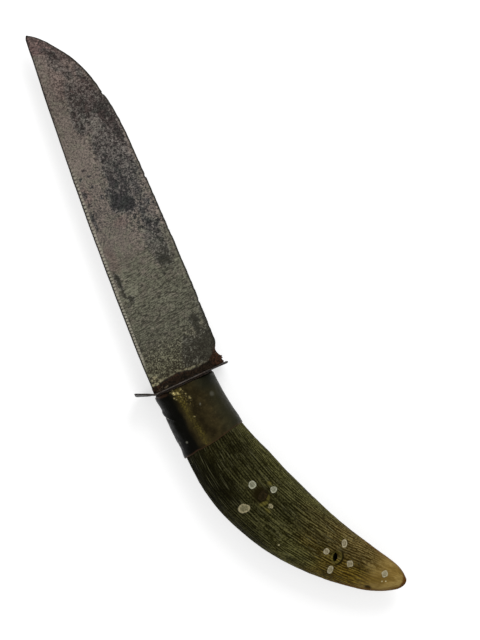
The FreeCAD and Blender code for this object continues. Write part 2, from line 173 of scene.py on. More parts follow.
def linearLight(levels):
    # grey levels as the eye reads them, 0 to 255, turned into linear light
    share = np.clip(np.asarray(levels, float) / 255, 0, 1)
    return np.where(share <= 0.04045, share / 12.92, ((share + 0.055) / 1.055) ** 2.4)


def connect(tree, value, socket):
    # a value is a mask's name, another node's output or a plain number or colour
    if isinstance(value, str):
        value = addNode(tree, "Attribute", {}, attribute_name=value).outputs["Fac"]
    if isinstance(value, bpy.types.NodeSocket):
        tree.links.new(value, socket)
    else:
        socket.default_value = value


def addNode(tree, kind, inputs, **settings):
    node = tree.nodes.new("ShaderNode" + kind)
    for setting, value in settings.items():
        setattr(node, setting, value)
    for socket, value in inputs.items():
        connect(tree, value, node.inputs[socket])
    return node


class Finish:
    # a material with short calls for the nodes that the finishes here share
    def __init__(self, name, **sockets):
        self.material = bpy.data.materials.new(name)
        self.material.use_nodes = True
        self.tree = self.material.node_tree
        self.wear(**sockets)

    def wear(self, **sockets):
        # set or join the shader's own sockets
        shader = self.tree.nodes["Principled BSDF"]
        for socket, value in sockets.items():
            connect(self.tree, value, shader.inputs[socket.replace("_", " ")])
        return self.material

    def add(self, kind, inputs, **settings):
        return addNode(self.tree, kind, inputs, **settings).outputs

    def place(self):
        return self.add("TexCoord", {})["Object"]

    def stretched(self, place, scale, turn=0):
        # lumps grow longer along an axis with a small scale, and the whole is turned on the face
        inputs = dict(Vector=place, Scale=[1 / part for part in scale], Rotation=(0, 0, math.radians(turn)))
        return self.add("Mapping", inputs, vector_type="TEXTURE")["Vector"]

    def noise(self, place, scale, detail=4, rough=0.6, warp=0):
        inputs = dict(Vector=place, Scale=scale, Detail=detail, Roughness=rough, Distortion=warp)
        return self.add("TexNoise", inputs)["Fac"]

    def between(self, value, low, high, toLow=0, toHigh=1):
        # soft change from one level to another while the value goes from low to high
        names = ("Value", "From Min", "From Max", "To Min", "To Max")
        inputs = dict(zip(names, (value, low, high, toLow, toHigh)))
        return self.add("MapRange", inputs, interpolation_type="SMOOTHSTEP")["Result"]

    def reckon(self, kind, a, b=0):
        return self.add("Math", {0: a, 1: b}, operation=kind)[0]

    def times(self, a, b):
        return self.reckon("MULTIPLY", a, b)

    def plus(self, a, b):
        return self.reckon("ADD", a, b)

    def minus(self, a, b):
        return self.reckon("SUBTRACT", a, b)

    def mix(self, share, under, over):
        # two patterns or colours, and a colour is red, green and blue as the eye reads them, 0 to 255
        under, over = ((*linearLight(part), 1) if isinstance(part, tuple) else part for part in (under, over))
        return self.add("Mix", {0: share, 6: under, 7: over}, data_type="RGBA")[2]

    def coats(self, base, *layers):
        # layers laid on one after another, each with the share that it covers and its colour
        for share, colour in layers:
            base = self.mix(share, base, colour)
        return base

    def bump(self, height, depth, strength, **under):
        return self.add("Bump", dict(Height=height, Distance=depth * mm, Strength=strength, **under))["Normal"]


# viewHeight is how much of the table shows from the view's top to its foot
cameraPlace = dict(lens=400, sensor=36, viewHeight=256, middle=(12.6, -29.45), upward=(0.90796, -0.41906))


def placeCamera():
    lens = bpy.data.cameras.new("overheadCamera")
    lens.lens = cameraPlace["lens"]
    lens.sensor_width = cameraPlace["sensor"]
    lens.clip_start = 0.01
    camera = bpy.data.objects.new("overheadCamera", lens)
    bpy.context.scene.collection.objects.link(camera)
    up = Vector((*cameraPlace["upward"], 0)).normalized()
    back = Vector((0, 0, 1))
    turn = Matrix((up.cross(back), up, back)).transposed()
    away = cameraPlace["lens"] / cameraPlace["sensor"] * cameraPlace["viewHeight"]
    spot = Vector((*cameraPlace["middle"], away)) * mm
    camera.matrix_world = Matrix.Translation(spot) @ turn.to_4x4()
    bpy.context.scene.camera = camera


placeCamera()
print("camera placed")


# the grip's centreline and outlines, shared by ferrule, horn and pins: the guard and packing are the stack,
# the line bends little through the collar and more behind it, and the horn is deepest at the belly
gripShape = dict(
    offset=1.3, stack=1.4, collarReach=20, collarBend=250, gripBend=127, ovalPower=2.15,
    ferruleEnd=26.4, end=124.3, bellyAt=51.4, bellyDepth=10.3, stepDepth=9.35,
    back=[(26.4, 13.05), (31.9, 13.85), (36.3, 14.4), (40.7, 14.8), (45.2, 15.1), (49.7, 15.2), (54.2, 15.15),
          (59.1, 14.95), (68.8, 14.45), (79.4, 13.2), (91, 11.65), (97.4, 10.65), (104.2, 9.5), (110, 8.6),
          (114, 7.5), (118, 6.05), (120, 5.15), (122, 4.05), (123.2, 3), (124.3, 0.5)],
    edge=[(26.4, -13.1), (31.6, -13.75), (37.2, -14.4), (43.1, -15.05), (48.9, -15.25), (54.8, -15.2),
          (60.7, -15.1), (66.5, -14.85), (72.4, -14.4), (78.4, -13.75), (84.2, -12.9), (90, -12),
          (95.8, -10.95), (101.8, -9.85), (107.7, -8.6), (113.5, -7.15), (118, -5.6), (120, -4.6),
          (122, -3.2), (123.3, -1.9), (124.3, -0.1)])


def gripPoints(u, v, z):
    # points in X, Y and Z from places along the bent centreline
    line = gripShape
    collar = np.clip(u - line["stack"], 0, line["collarReach"]) / line["collarBend"]
    turn = collar + np.maximum(u - line["stack"] - line["collarReach"], 0) / line["gripBend"]
    x = (-np.minimum(u, line["stack"]) - line["collarBend"] * np.sin(collar)
         - line["gripBend"] * (np.sin(turn) - np.sin(collar)) - v * np.sin(turn))
    y = (line["offset"] - line["collarBend"] * (1 - np.cos(collar))
         - line["gripBend"] * (np.cos(collar) - np.cos(turn)) + v * np.cos(turn))
    return np.stack([x, y, z], -1)


def capCurve(points, u):
    # outline that closes roundly at the butt: even in the root of the distance to the end
    end = gripShape["end"]
    rooted = [(-math.sqrt(end - at), height) for at, height in points]
    return smoothCurve(rooted, -np.sqrt(np.maximum(end - u, 0)))


def hornSection(u):
    # middle height, half width and half depth of the horn
    g = gripShape
    high, low = capCurve(g["back"], u), capCurve(g["edge"], u)
    past = np.clip((u - g["bellyAt"]) / (g["end"] + 0.3 - g["bellyAt"]), 0, 1)
    before = np.clip((g["bellyAt"] - u) / (g["bellyAt"] - g["ferruleEnd"]), 0, 1.4)
    depth = g["bellyDepth"] * np.sqrt(1 - past ** 2) - (g["bellyDepth"] - g["stepDepth"]) * before ** 1.6
    return (high + low) / 2, (high - low) / 2, depth


def hornHeight(u, v):
    # height of the horn's upper surface over the middle plane
    middle, width, depth = hornSection(u)
    power = gripShape["ovalPower"]
    return depth * (1 - np.clip(np.abs(v - middle) / width, 0, 0.999) ** power) ** (1 / power)


# patches on the horn, as on the other pieces, are rows of middle, two radii, strength and any turn
hornShape = dict(
    lengthCuts=450, roundCuts=300, overlap=0.6, nose=(1.5, 8, 16), noseInset=0.95,
    ridge=0.16, ridgeGap=1.08, swell=0.12, buttPits=0.16,
    thongAt=(94.1, 1.2), thongSize=(0.85, 1.8), thongTurn=-18, dishRadius=2.7, dishDepth=0.75,
    # height, and how far along the grip the bore strays there
    thongBore=[(-14, -2.4), (-8, 0), (0, 2.4), (8, 0), (14, -2.4)],
    wornAt=(94.7, 1), wornSize=(2.35, 2.9), chipAt=(110.6, 7.1), chipSize=(1.3, 0.8), chipDepth=0.45,
    dark=[(66, -3.2, 17, 5, 0.45), (62, 13, 13, 4.5, 0.6), (88, -2.2, 22, 4.5, 0.3, -4), (79, -9, 11, 3, 0.25)],
    pale=[(79, 8.4, 13, 5.5, 0.95, -6), (80, 5.2, 9, 2.6, 0.6, -4)],
    darkening=[(104.5, 0.8, 6.5, 3, 0.35), (55.5, -1.1, 5, 4.2, 1.1), (110.6, 7.1, 1.9, 1.1, 0.9),
          (93.6, 9, 2.4, 1.3, 0.5), (92, -6.2, 1.8, 1.2, 0.4)],
    wax=[(58.8, 0.6, 1, 2.3, 1, 25), (58.4, -2.4, 1.4, 0.9, 0.8, 50), (61.8, 1.4, 1.6, 1, 0.8),
         (54.6, -6.8, 1.4, 0.9, 1), (92.6, -6.4, 0.8, 1.2, 0.6)],
    specks=[(73.5, 9.2, 0.36, 0.36, 0.8), (115, 2.9, 0.26, 0.34, 0.8), (116.4, 2.4, 0.32, 0.3, 0.9)])


def hornGrain(u, v, z):
    # fine lengthwise growth ridges that draw together towards the butt, from about -1 to 1
    middle, width, depth = hornSection(u)
    turn = np.arctan2(z / np.maximum(depth, 0.5), (v - middle) / np.maximum(width, 0.5))
    across, over = 12.5 * np.cos(turn), 12.5 * np.sin(turn)
    sway = 0.9 * uneven(u, across * 0.4, over * 0.4, 14, 3, 2) * (0.3 + 0.7 * fade(55, 92, u))
    sway = sway + 0.22 * uneven(u, across * 1.2, over * 1.2, 3.2, 7, 2) * (0.3 + 0.7 * fade(60, 90, u))
    # the ridges keep their spacing as the horn narrows, so the outer ones run out at its sides
    circle = 15 * (np.clip(width, 1.5, 16) / 15) ** 1.12
    across, over = circle * np.cos(turn), circle * np.sin(turn)
    path = circle * (np.abs(turn) - math.pi / 2) + 0.7 * sway
    shift = 1.9 * uneven(u / 16, across / 2.2, over / 2.2, 1, 14, 1)
    shift = shift + 0.4 * uneven(u / 7, across / 1.2, over / 1.2, 1, 19, 1)
    lines = np.sin(2 * math.pi * path / hornShape["ridgeGap"] + shift)
    lines = lines * (0.7 + 0.5 * uneven(u / 14, across / 1.6, over / 1.6, 1, 15, 2))
    return 0.64 * lines + 0.28 * uneven(u / 9, across / 0.5, over / 0.5, 1, 11, 1)


def hornLift(u, v, z):
    # how far the worn surface stands off the smooth shape
    h = hornShape
    lift = h["ridge"] * hornGrain(u, v, z) * (1 - 0.9 * fade(104, 114, u))
    lift = lift + h["swell"] * uneven(u, v, z, 16, 29, 2)
    far = np.hypot(u - h["thongAt"][0], v - h["thongAt"][1])
    lift = lift - h["dishDepth"] * (1 - fade(0.35, 1, far / h["dishRadius"]))
    lift = lift - h["buttPits"] * fade(119, 124, u) * np.maximum(uneven(u, v, z, 2.2, 41, 2), 0)
    return lift - h["chipDepth"] * blot(u, v, h["chipAt"], h["chipSize"])


def hornMasks(u, v, z):
    # where the horn changes colour
    h, end, onTop = hornShape, gripShape["end"], z > 0
    wander = uneven(u, v, z, 8, 51, 2)
    amber = 10 * blot(u, v, (106, 6), (11, 4.5)) + 2 * fade(-3, -11, v)
    amber = fade(66, 110, u + 5 * wander + amber)
    # dark: painted shade over the back side, away from the lamp, with darker horn over the front of the grip and in
    # patches
    dark = fade(-3, 6.5, v + 1.6 * uneven(u, v, z, 7, 57, 2)) * (1 - fade(44, 68, u))
    dark = np.maximum(dark, 0.72 * (1 - fade(36, 66, u)) * fade(-19, -6, v))
    dark = patches(u, v, h["dark"], start=dark)
    # pale: painted light on the edge side, towards the lamp, and paler patches, with less of it down the sides than
    # on top
    pale = fade(9.4, 14.2, -v + 0.5 * wander) * (1 - fade(86, 112, u))
    pale = patches(u, v, h["pale"], start=pale) * (0.3 + 0.7 * fade(0, 3.5, z))
    butt = fade(104.5, 119.5, u + 2 * wander - 0.35 * np.maximum(-v, 0) + 0.4 * np.maximum(v, 0))
    # the rim is brown all round the butt, and darker along the outlines near it
    rim = fade(2.3, 1, end - u - 0.1 * np.abs(v) + 0.3 * uneven(u, v, z, 2, 61, 2))
    low, high = v - capCurve(gripShape["edge"], u), capCurve(gripShape["back"], u) - v
    tail = fade(100, 113, u)
    rim = rim + 0.5 * fade(0.9 + 0.5 * tail, 0.15, low) * fade(96, 106, u)
    wide = 0.9 + 0.8 * tail + 0.5 * fade(115, 120, u)
    rim = rim + 0.7 * fade(wide, 0.2, high) * fade(92, 104, u)
    # a worn ring round the thong hole, with a dark line along its rear
    past = u - h["wornAt"][0]
    far = np.hypot(past / h["wornSize"][0], (v - h["wornAt"][1]) / h["wornSize"][1])
    worn = fade(0.5, 0.68, far) * fade(0.98, 0.84, far)
    arc = fade(0.34, 0.04, np.abs(far - 1.04)) * fade(0, 1.8, past)
    darkening = 0.8 * arc + 0.3 * fade(1.5, 0.9, far) * (far > 0.9)
    darkening = patches(u, v, h["darkening"], np.add, darkening)
    wax = patches(u, v, h["wax"], start=0.6 * worn)
    speck = patches(u, v, h["specks"], np.add)
    return dict(hornAlong=u / 100, hornUp=z / 10, amber=amber, dark=dark, pale=pale, butt=butt,
                rim=np.clip(rim, 0, 1), darkening=np.clip(darkening, 0, 1), wax=wax * onTop, speck=speck * onTop)


def buildHorn():
    h, grip = hornShape, gripShape
    start = grip["ferruleEnd"] - h["overlap"]
    share = np.linspace(0, 1, h["lengthCuts"])
    body = start + (grip["end"] - start) * (1 - (1 - share) ** 1.35)  # closer cuts towards the butt
    u = np.concatenate([h["nose"], [start - 0.05], body])[:, None]
    middle, width, depth = hornSection(np.maximum(u, grip["ferruleEnd"]))
    # the nose runs on inside the ferrule
    inNose = u < start
    noseWidth, noseDepth = ferruleSection(u)
    middle = np.where(inNose, 0, middle)
    width = np.where(inNose, noseWidth - h["noseInset"], width)
    depth = np.where(inNose, noseDepth - h["noseInset"], depth)
    around = evenTurns(h["roundCuts"])
    across, rise = (np.sign(a) * np.abs(a) ** (2 / grip["ovalPower"]) for a in (np.cos(around), np.sin(around)))
    u, v, z = u + 0 * across, middle + width * across, depth * rise
    masks = hornMasks(u, v, z)
    masks["hornAcross"] = (v - middle) / np.maximum(width, 0.5) * 1.4
    masks["ridge"] = np.clip(0.5 + 0.5 * hornGrain(u, v, z), 0, 1)
    lift = np.where(inNose, 0, hornLift(u, v, z)) * np.minimum(1, width / 3)
    normalV, normalZ = across / np.maximum(width, 0.3), rise / np.maximum(depth, 0.3)
    length = np.hypot(normalV, normalZ)
    points = gripPoints(u, v + lift * normalV / length, z + lift * normalZ / length)
    piece = makeTube("hornGrip", points, masks)
    cutThongHole(piece)
    return piece


def cutThongHole(piece):
    # a pointed oval drilled and worn right through the horn
    h, turns = hornShape, evenTurns(28)
    du = h["thongSize"][0] * np.cos(turns)
    dv = h["thongSize"][1] * np.sign(np.sin(turns)) * np.abs(np.sin(turns)) ** 1.35
    u, v = turned(du, dv, h["thongAt"], h["thongTurn"])
    rings = [gripPoints(u + stray, v, np.full_like(u, height)) for height, stray in h["thongBore"]]
    cutter = makeTube("thongCutter", rings, {})
    cut = piece.modifiers.new("thongHole", "BOOLEAN")
    cut.operation = "DIFFERENCE"
    cut.solver = "EXACT"
    cut.object = cutter
    bpy.context.view_layer.update()
    before = len(piece.data.polygons)
    shaped = bpy.data.meshes.new_from_object(piece.evaluated_get(bpy.context.evaluated_depsgraph_get()))
    print("thong hole cut,", before, "to", len(shaped.polygons), "faces")
    piece.modifiers.clear()
    piece.data = shaped
    bpy.data.objects.remove(cutter)


def hornFinish():
    horn = Finish("wornHorn", Roughness=0.5, IOR=1.5, Specular_IOR_Level=0.045, Specular_Tint=(1, 0.84, 0.36, 1))
    across = horn.times("hornAcross", 10)
    place = horn.add("CombineXYZ", {0: horn.times("hornAlong", 100), 1: across, 2: horn.times("hornUp", 10)})[0]
    hairs = horn.noise(horn.stretched(place, (0.07, 1, 1)), 2.2, 0.6, warp=0.2)
    dashes = horn.noise(horn.stretched(place, (0.75, 1, 1)), 1.9, 0.6)
    threads = horn.noise(horn.stretched(place, (0.05, 1, 1), 3.1), 2.4, 0.6)
    clouds = horn.noise(place, 0.16, 3, 0.5)
    lines = horn.plus(horn.times("ridge", 0.42), horn.times(hairs, 0.4))
    lines = horn.plus(lines, horn.times(dashes, 0.42))
    light = horn.between(lines, 0.51, 0.88)
    straw = horn.mix(horn.between(across, -4, 4), (131, 114, 68), (132, 110, 42))
    butt = horn.mix(horn.between(clouds, 0.36, 0.6), (154, 130, 74), (122, 98, 46))
    base = horn.coats(
        horn.mix(light, (17, 16, 2), (92, 90, 54)),
        ("amber", horn.mix(light, (50, 36, 6), straw)),
        # painted shade on the back side, and darker horn
        (horn.times("dark", 0.97), horn.mix(light, (0, 0, 0), (25, 25, 10))),
        # painted light on the edge side, and paler horn
        (horn.times("pale", 0.85), horn.mix(light, (30, 29, 6), (106, 104, 62))),
        (horn.between(threads, 0.62, 0.74, 0, 0.4), (104, 102, 74)),
        ("butt", horn.mix(horn.between(hairs, 0.46, 0.64, 0, 0.5), butt, (98, 76, 36))),
        (horn.between(clouds, 0.52, 0.72, 0, 0.18), (26, 21, 4)),
        ("darkening", (20, 15, 4)),
        ("rim", (84, 52, 16)),
        (horn.times("wax", horn.between(hairs, 0.35, 0.6, 0.35, 0.8)), (96, 89, 40)),
        ("speck", (214, 204, 160)))
    return horn.wear(Base_Color=base, Roughness=horn.between(lines, 0.3, 0.7, 0.44, 0.6),
                     Normal=horn.bump(lines, 0.2, 0.9))


ferruleShape = dict(
    front=1.4, back=26.6, wall=0.8, frontWidth=12.35, backWidth=13.35, frontDepth=9.3, backDepth=9.8,
    lengthCuts=132, roundCuts=230,
    dents=0.22, fineDents=0.05, pressed=0.35, flare=0.4,
    tearFrom=(8.2, 0.5), tearSlope=1.25, tearMiddle=9.9, tearReach=2.1, lipUp=0.34, lipDown=0.4,
    # places where the brass is rubbed bright, set along the painted highlight, so partly worn brass and partly
    # painted highlight: along, across, size, how bright
    wearAndHighlight=[(3, 5.4, 1.05, 1), (3.5, 4.2, 0.75, 0.8), (1.5, 5.5, 0.6, 0.6), (4.7, 6.1, 0.6, 0.5),
            (5.6, 5.5, 0.4, 0.4), (2.2, 6.7, 0.5, 0.5), (2.35, 2.4, 0.6, 0.6), (3.5, 1.7, 0.45, 0.45),
            (4.3, 2.4, 0.35, 0.4), (5, 1, 0.55, 0.65), (5.9, 1.7, 0.35, 0.4), (6.3, 0.3, 0.4, 0.5),
            (7.2, 0.6, 0.5, 0.5), (8.3, 0.3, 0.4, 0.45), (7.6, 1.8, 0.3, 0.35), (9.4, 1.3, 0.35, 0.35),
            (5.4, 3.3, 0.45, 0.45), (6.8, 3.4, 0.35, 0.35), (8.4, 2.7, 0.35, 0.35), (14.4, 2, 0.4, 0.35)],
    scars=[(22, 9.8, 0.5, 0.5, 1), (21, 12.2, 0.8, 0.3, 0.5), (11.2, -2.1, 0.7, 0.3, 0.6, 20),
           (9.6, -8.2, 1.3, 1.1, 0.35)])


def ferruleSection(u):
    # half width and half depth
    f = ferruleShape
    share = (u - f["front"]) / (f["back"] - f["front"])
    return (f["frontWidth"] + (f["backWidth"] - f["frontWidth"]) * share,
            f["frontDepth"] + (f["backDepth"] - f["frontDepth"]) * share)


def buildFerrule():
    f = ferruleShape
    front, back = f["front"], f["back"]
    outer, inner = np.linspace(front, back, f["lengthCuts"]), np.linspace(back, front, 8)
    u = np.concatenate([outer, inner])[:, None]
    isInner = np.arange(len(u))[:, None] >= len(outer)
    width, depth = ferruleSection(u)
    around = evenTurns(f["roundCuts"])
    across, rise = np.cos(around), np.sin(around)
    u, v, z = u + 0 * across, width * across, depth * rise
    onTop = z > 0
    dents = f["dents"] * uneven(u, v, z, 9, 5, 2) + f["fineDents"] * uneven(u, v, z, 1.6, 9, 2)
    dents = dents - f["pressed"] * blot(u, v, (15, 8.5), (3, 2.4)) * onTop
    dents = dents + (0.25 + 0.5 * fade(6, 2.5, u)) * fade(6, 12, v)
    # torn lip on the back: the front side of the tear stands up, the rear side is pushed in
    tear = (f["tearFrom"][1] + f["tearSlope"] * (u - f["tearFrom"][0]) - z) / 1.6
    along = u - f["tearMiddle"]
    near = fade(8.8, 10.6, v) * fade(-2.5, 0, z) * fade(3.4, 1.9, np.abs(along))
    raised, sunk = f["lipUp"] * fade(-2.2, -0.1, tear), -f["lipDown"] * fade(2.2, 0, tear)
    dents = dents + near * np.where(tear < 0, raised, sunk)
    taper = np.maximum(1 - (along / f["tearReach"]) ** 2, 0.05)
    # the torn lip's edge is bright torn metal with a painted glint on it, painted near white
    lip = near * fade(0.24, 0.15, np.abs(tear) / taper) * (0.85 + 0.5 * uneven(u, v, z, 0.8, 36, 2))
    ends = fade(0.5, 0, np.minimum(u - front, back - u))
    flare = f["flare"] * fade(back - 4, back - 0.6, u) * fade(8, 12, v)
    lift = np.where(isInner, -f["wall"], dents + flare - 0.12 * ends)
    push = np.hypot(across / width, rise / depth)
    ragged = 0.16 * uneven(v, z, 0, 2.4, 21) * fade(back - 2, back, u)
    ragged = ragged + 0.5 * (fade(7, 11.5, v) - 0.4) * fade(back - 6, back, u)
    ragged = ragged + 0.8 * fade(12.5, 2, np.abs(v - 1)) * fade(back - 6, back, u)
    points = gripPoints(u + ragged, v + lift * across / width / push, z + lift * rise / depth / push)
    # a painted highlight: a golden streak along the top of the brass
    highlightStreak = np.exp(-((v - 4.4 + 0.07 * u) / 1.25) ** 2) * onTop * (0.75 + 0.3 * uneven(u, v, z, 3, 33, 2))
    strayU, strayV = u + 0.3 * uneven(u, v, z, 1, 35, 2), v + 0.3 * uneven(u, v, z, 1, 38, 2)
    rows = [(atU, atV, size, 0.68 * size, strength, -30) for atU, atV, size, strength in f["wearAndHighlight"]]
    wander = uneven(u, v, z, 4, 31, 2)
    frontRed = 0.6 * fade(2.7, 1.9, u + wander) * fade(7, 9.5, v)
    masks = dict(highlightStreak=highlightStreak, wearAndHighlight=patches(strayU, strayV, rows) * onTop, tearGlint=np.clip(lip, 0, 1),
                 # painted highlight: yellow speckle at the front of the streak
                 highlightSpeckle=blot(u, v, (5.6, 3.2), (6.5, 2.4), -24) * onTop,
                 # painted shade: the back side of the brass is painted near black
                 shadedBack=fade(4.8, 7.8, v + 0.7 * wander), green=fade(3.5, 10.5, -v),
                 scar=patches(u, v, f["scars"], np.add) * onTop,
                 murk=0.65 * blot(u, v, (2.6, -8), (6, 6.5)),
                 redEnd=np.maximum(fade(back - 0.7, back - 0.1, u), frontRed))
    return makeTube("brassFerrule", points, masks, loop=True)


def ferruleFinish():
    brass = Finish("tarnishedBrass", Metallic=0.9, Roughness=0.4, Specular_IOR_Level=0.2)
    place = brass.place()
    grain = brass.noise(place, 1100, 5, 0.7)
    fine = brass.noise(place, 1900, 2)
    blotches = brass.noise(place, 210)
    flecks = brass.add("TexVoronoi", dict(Vector=place, Scale=1300))["Distance"]
    base = brass.coats(
        brass.mix(brass.between(blotches, 0.38, 0.62), (25, 20, 7), (38, 32, 15)),
        (brass.between(grain, 0.55, 0.72, 0, 0.5), (66, 56, 32)),
        # a painted dim reflection makes the edge side greyish green
        (brass.times("green", 0.7), (36, 36, 22)),
        ("murk", (15, 18, 11)),
        # the painted highlight streak, brighter in flecks
        (brass.times("highlightStreak", brass.between(fine, 0.4, 0.62, 0.1, 0.9)), (74, 66, 25)),
        # painted highlight: yellow speckle at the front of the streak
        (brass.times("highlightSpeckle", brass.between(fine, 0.55, 0.67, 0, 0.55)), (112, 98, 48)),
        # painted shade over the back side
        (brass.times("shadedBack", 0.97), (3, 3, 1)),
        # rubbed brass spots, partly painted highlight
        (brass.times("wearAndHighlight", brass.between(flecks, 0.5, 0.25, 0.35, 1)), (180, 166, 112)),
        ("scar", (88, 87, 78)),
        # painted glint along the torn lip
        ("tearGlint", (205, 203, 190)),
        (brass.times("redEnd", 0.6), (66, 46, 32)))
    relief = brass.bump(grain, 0.05, 0.6, Normal=brass.bump(blotches, 0.22, 0.5))
    return brass.wear(Base_Color=base, Roughness=brass.between(grain, 0.3, 0.7, 0.36, 0.6), Normal=relief)


bladeShape = dict(
    length=151.3, toothPitch=(1.18, 0.0042),  # the pitch at the guard, and how much it grows per millimetre
    backThick=3, pointThick=1.3, edgeThick=0.3, backRound=0.42, faceRows=52, backCuts=3,
    toothDepth=0.15, notchDepth=0.16, scaleDepth=0.06, pitDepth=0.03, waviness=0.035,
    back=[(0, 14), (9.8, 13.75), (29.3, 12.75), (48.8, 11.4), (68.3, 9.95), (87.8, 8.2), (107.3, 6.2),
          (126.8, 4.2), (141.5, 2.4), (148, 1.75), (150.2, 1.35), (151.3, 0.75)],
    edge=[(0, -16.3), (0.5, -16.7), (0.95, -16.5), (1.25, -15.6), (1.6, -15.75), (1.95, -17), (2.3, -16.7),
          (2.7, -17), (3.3, -16.4), (4.2, -15.9), (5.2, -15.6), (6.4, -15.65), (7.6, -16.3), (9.2, -17),
          (12, -17.15), (19.5, -17.6), (29.3, -18.1), (48.8, -18.75), (68.3, -19.15), (87.8, -19.45),
          (97.6, -19.5), (104, -19.45), (110, -19), (116.2, -18.15), (117.6, -17.75), (122, -17.1),
          (126.8, -16), (131.7, -14.35), (136.6, -12.1), (141.5, -9), (146.3, -5.3), (149.5, -2.1), (151.3, 0.4)],
    # nicks along the cutting edge, whose strength is their depth
    nicks=[(80.9, 0, 0.7, 1, 0.25), (118, 0, 0.8, 1, 0.3), (26.5, 0, 0.9, 1, 0.2), (58, 0, 0.6, 1, 0.15)],
    # a tapering stick inside the grip, bent to follow it
    tang=dict(reach=(-0.2, 67.2), cuts=24, wide=12, narrow=5.2, length=67.4, height=-0.8, halfThick=1.45),
    # general tone of the bare steel along the blade, 0 black to 255 white
    tones=[(0, 50), (4, 60), (8, 70), (14, 79), (24, 88), (36, 92), (46, 93), (56, 91), (66, 87), (76, 85),
           (86, 88), (94, 94), (102, 91), (112, 88), (124, 84), (134, 88), (140, 93), (146, 90), (151, 79)],
    toneSpan=(38, 116),  # tones of the darkest and the lightest steel
    # how thickly fine specks of scale lie along the blade
    specks=[(0, 0.26), (14, 0.18), (36, 0.14), (48, 0.1), (70, 0.12), (84, 0.14), (104, 0.14), (120, 0.18),
            (151, 0.18)],
    # how bright the painted highlight strip beside the rust is, from the edge to the back
    paintedShine=[(-15, 0), (-9, 0.1), (-5, 0.38), (0, 0.42), (3, 0.25), (8, 0.22), (10.5, 0.85), (13, 0.95)],
    brown=[(122, -11.5, 12, 4.4, 0.5), (83, 5.6, 4, 2.6, 0.5), (56, 7, 7, 2.6, 0.5), (68, -2.5, 3, 4, 0.5),
           (104, -16.5, 14, 2.6, 0.5), (128, -3, 9, 4, 0.5)],
    # dark scale, first the broad thin areas and then the patches
    scale=[(94, -8.6, 17, 5.6, 0.44), (90, -15, 20, 3.4, 0.4), (118, -8, 13, 8, 0.38), (107, -15, 14, 4, 0.52),
           (54, -12, 14, 5.8, 0.4), (77, -8, 9, 7, 0.3), (8, -8, 9, 8, 0.64), (9, -14.6, 10, 4.4, 0.84),
           (38, -15, 14, 3, 0.18), (66, -14, 10, 3.4, 0.18), (136, -5, 8, 3.6, 0.34, 30),
           (75.6, -5, 5.6, 4, 1, 8), (73.8, -8.2, 4.2, 3.2, 1), (80.8, -3.8, 3.8, 2, 0.65),
           (86, -5.8, 5.8, 1.8, 0.8, 4), (85.5, -10.2, 9.4, 1.3, 0.78), (94, -7.6, 4.5, 1.8, 0.5),
           (100.5, -6.6, 3.6, 1.6, 0.4, 5), (104, -10.6, 3.4, 1.6, 0.35), (90.5, -3.4, 3, 1.4, 0.25),
           (111.5, -3.6, 6.4, 3.2, 0.58), (122, -5.6, 6.6, 3, 0.45), (114.5, -8.4, 5.4, 3, 0.5),
           (118.4, -8.6, 2.4, 2, 0.4), (130.4, -8, 2.2, 1.8, 0.4), (126.5, -13, 7.5, 1.3, 0.6, 13),
           (111.5, -13.6, 8.6, 2.6, 0.62), (103, -17, 8, 1.9, 0.75), (112, -16.8, 7, 1.8, 0.45, 4),
           (90, -17.4, 2.2, 1.3, 0.5), (86, -16.6, 2.6, 1.6, 0.35), (97, -12.8, 6, 1.4, 0.3),
           (81, -13.6, 5, 1.8, 0.35), (71.6, -15.8, 1.8, 1.8, 0.6, 20), (69.4, -12, 3.2, 1.5, 0.6),
           (65.4, -11.4, 2.2, 1.2, 0.45), (63.2, -12.8, 2.2, 1.6, 0.75), (61.6, -15.2, 1.3, 2.4, 0.65, 25),
           (57.4, -13.4, 2.2, 1.4, 0.45), (54.4, -14.4, 2.4, 1.2, 0.5), (48.2, -11.2, 2.4, 2.2, 0.85),
           (47.4, -13.2, 2.6, 1.8, 0.85), (50.6, -14.2, 2.2, 1.2, 0.55), (42.4, -9.8, 1.5, 1, 0.45),
           (46.4, 8.4, 5, 1.4, 1, -3), (41.6, 8.6, 2.4, 1.2, 0.85), (38.2, 6.6, 2.1, 1.9, 0.8),
           (36, 8.6, 1.6, 1, 0.5), (72.6, 7.1, 5, 1.2, 0.75, -6), (83.6, 6, 1.8, 1.4, 0.55),
           (80.2, 0, 1.3, 1.6, 0.55), (90.2, 5.2, 1, 0.8, 1), (93.6, 2.4, 0.8, 0.8, 0.9), (90, 1.2, 0.9, 1, 1),
           (86.2, 2.2, 0.8, 0.8, 0.9), (20.4, -12.8, 3, 2.2, 1), (16.8, -12.8, 2.4, 1.7, 0.75),
           (11, -11.6, 3, 2.4, 0.45), (6.4, -11.4, 4, 3.4, 0.65), (8.6, -5.8, 3.4, 3.2, 0.4),
           (14.4, -6.2, 2.2, 2.2, 0.25), (20, -16.9, 10, 1.2, 0.5, 3), (139.6, -6, 2.6, 1.3, 0.6, 45),
           (142.6, -4.2, 3.8, 1.3, 0.6, 45)])


def fileTeeth(x, down):
    # rungs left from the file along the back, a little wider apart towards the point
    near, growth = bladeShape["toothPitch"]
    beat = np.log(near + growth * (x + 0.1 * down)) / growth
    beat = beat - np.floor(beat)
    rung = fade(0, 0.2, beat) * (1 - fade(0.38, 0.55, beat))
    patchy = 0.75 + 0.35 * uneven(x, 0, 0, 6, 71, 2)
    return rung * np.clip(patchy, 0.2, 1.2) * (0.25 + 0.75 * fade(8, 30, x)) * (1 - fade(84, 110, x))


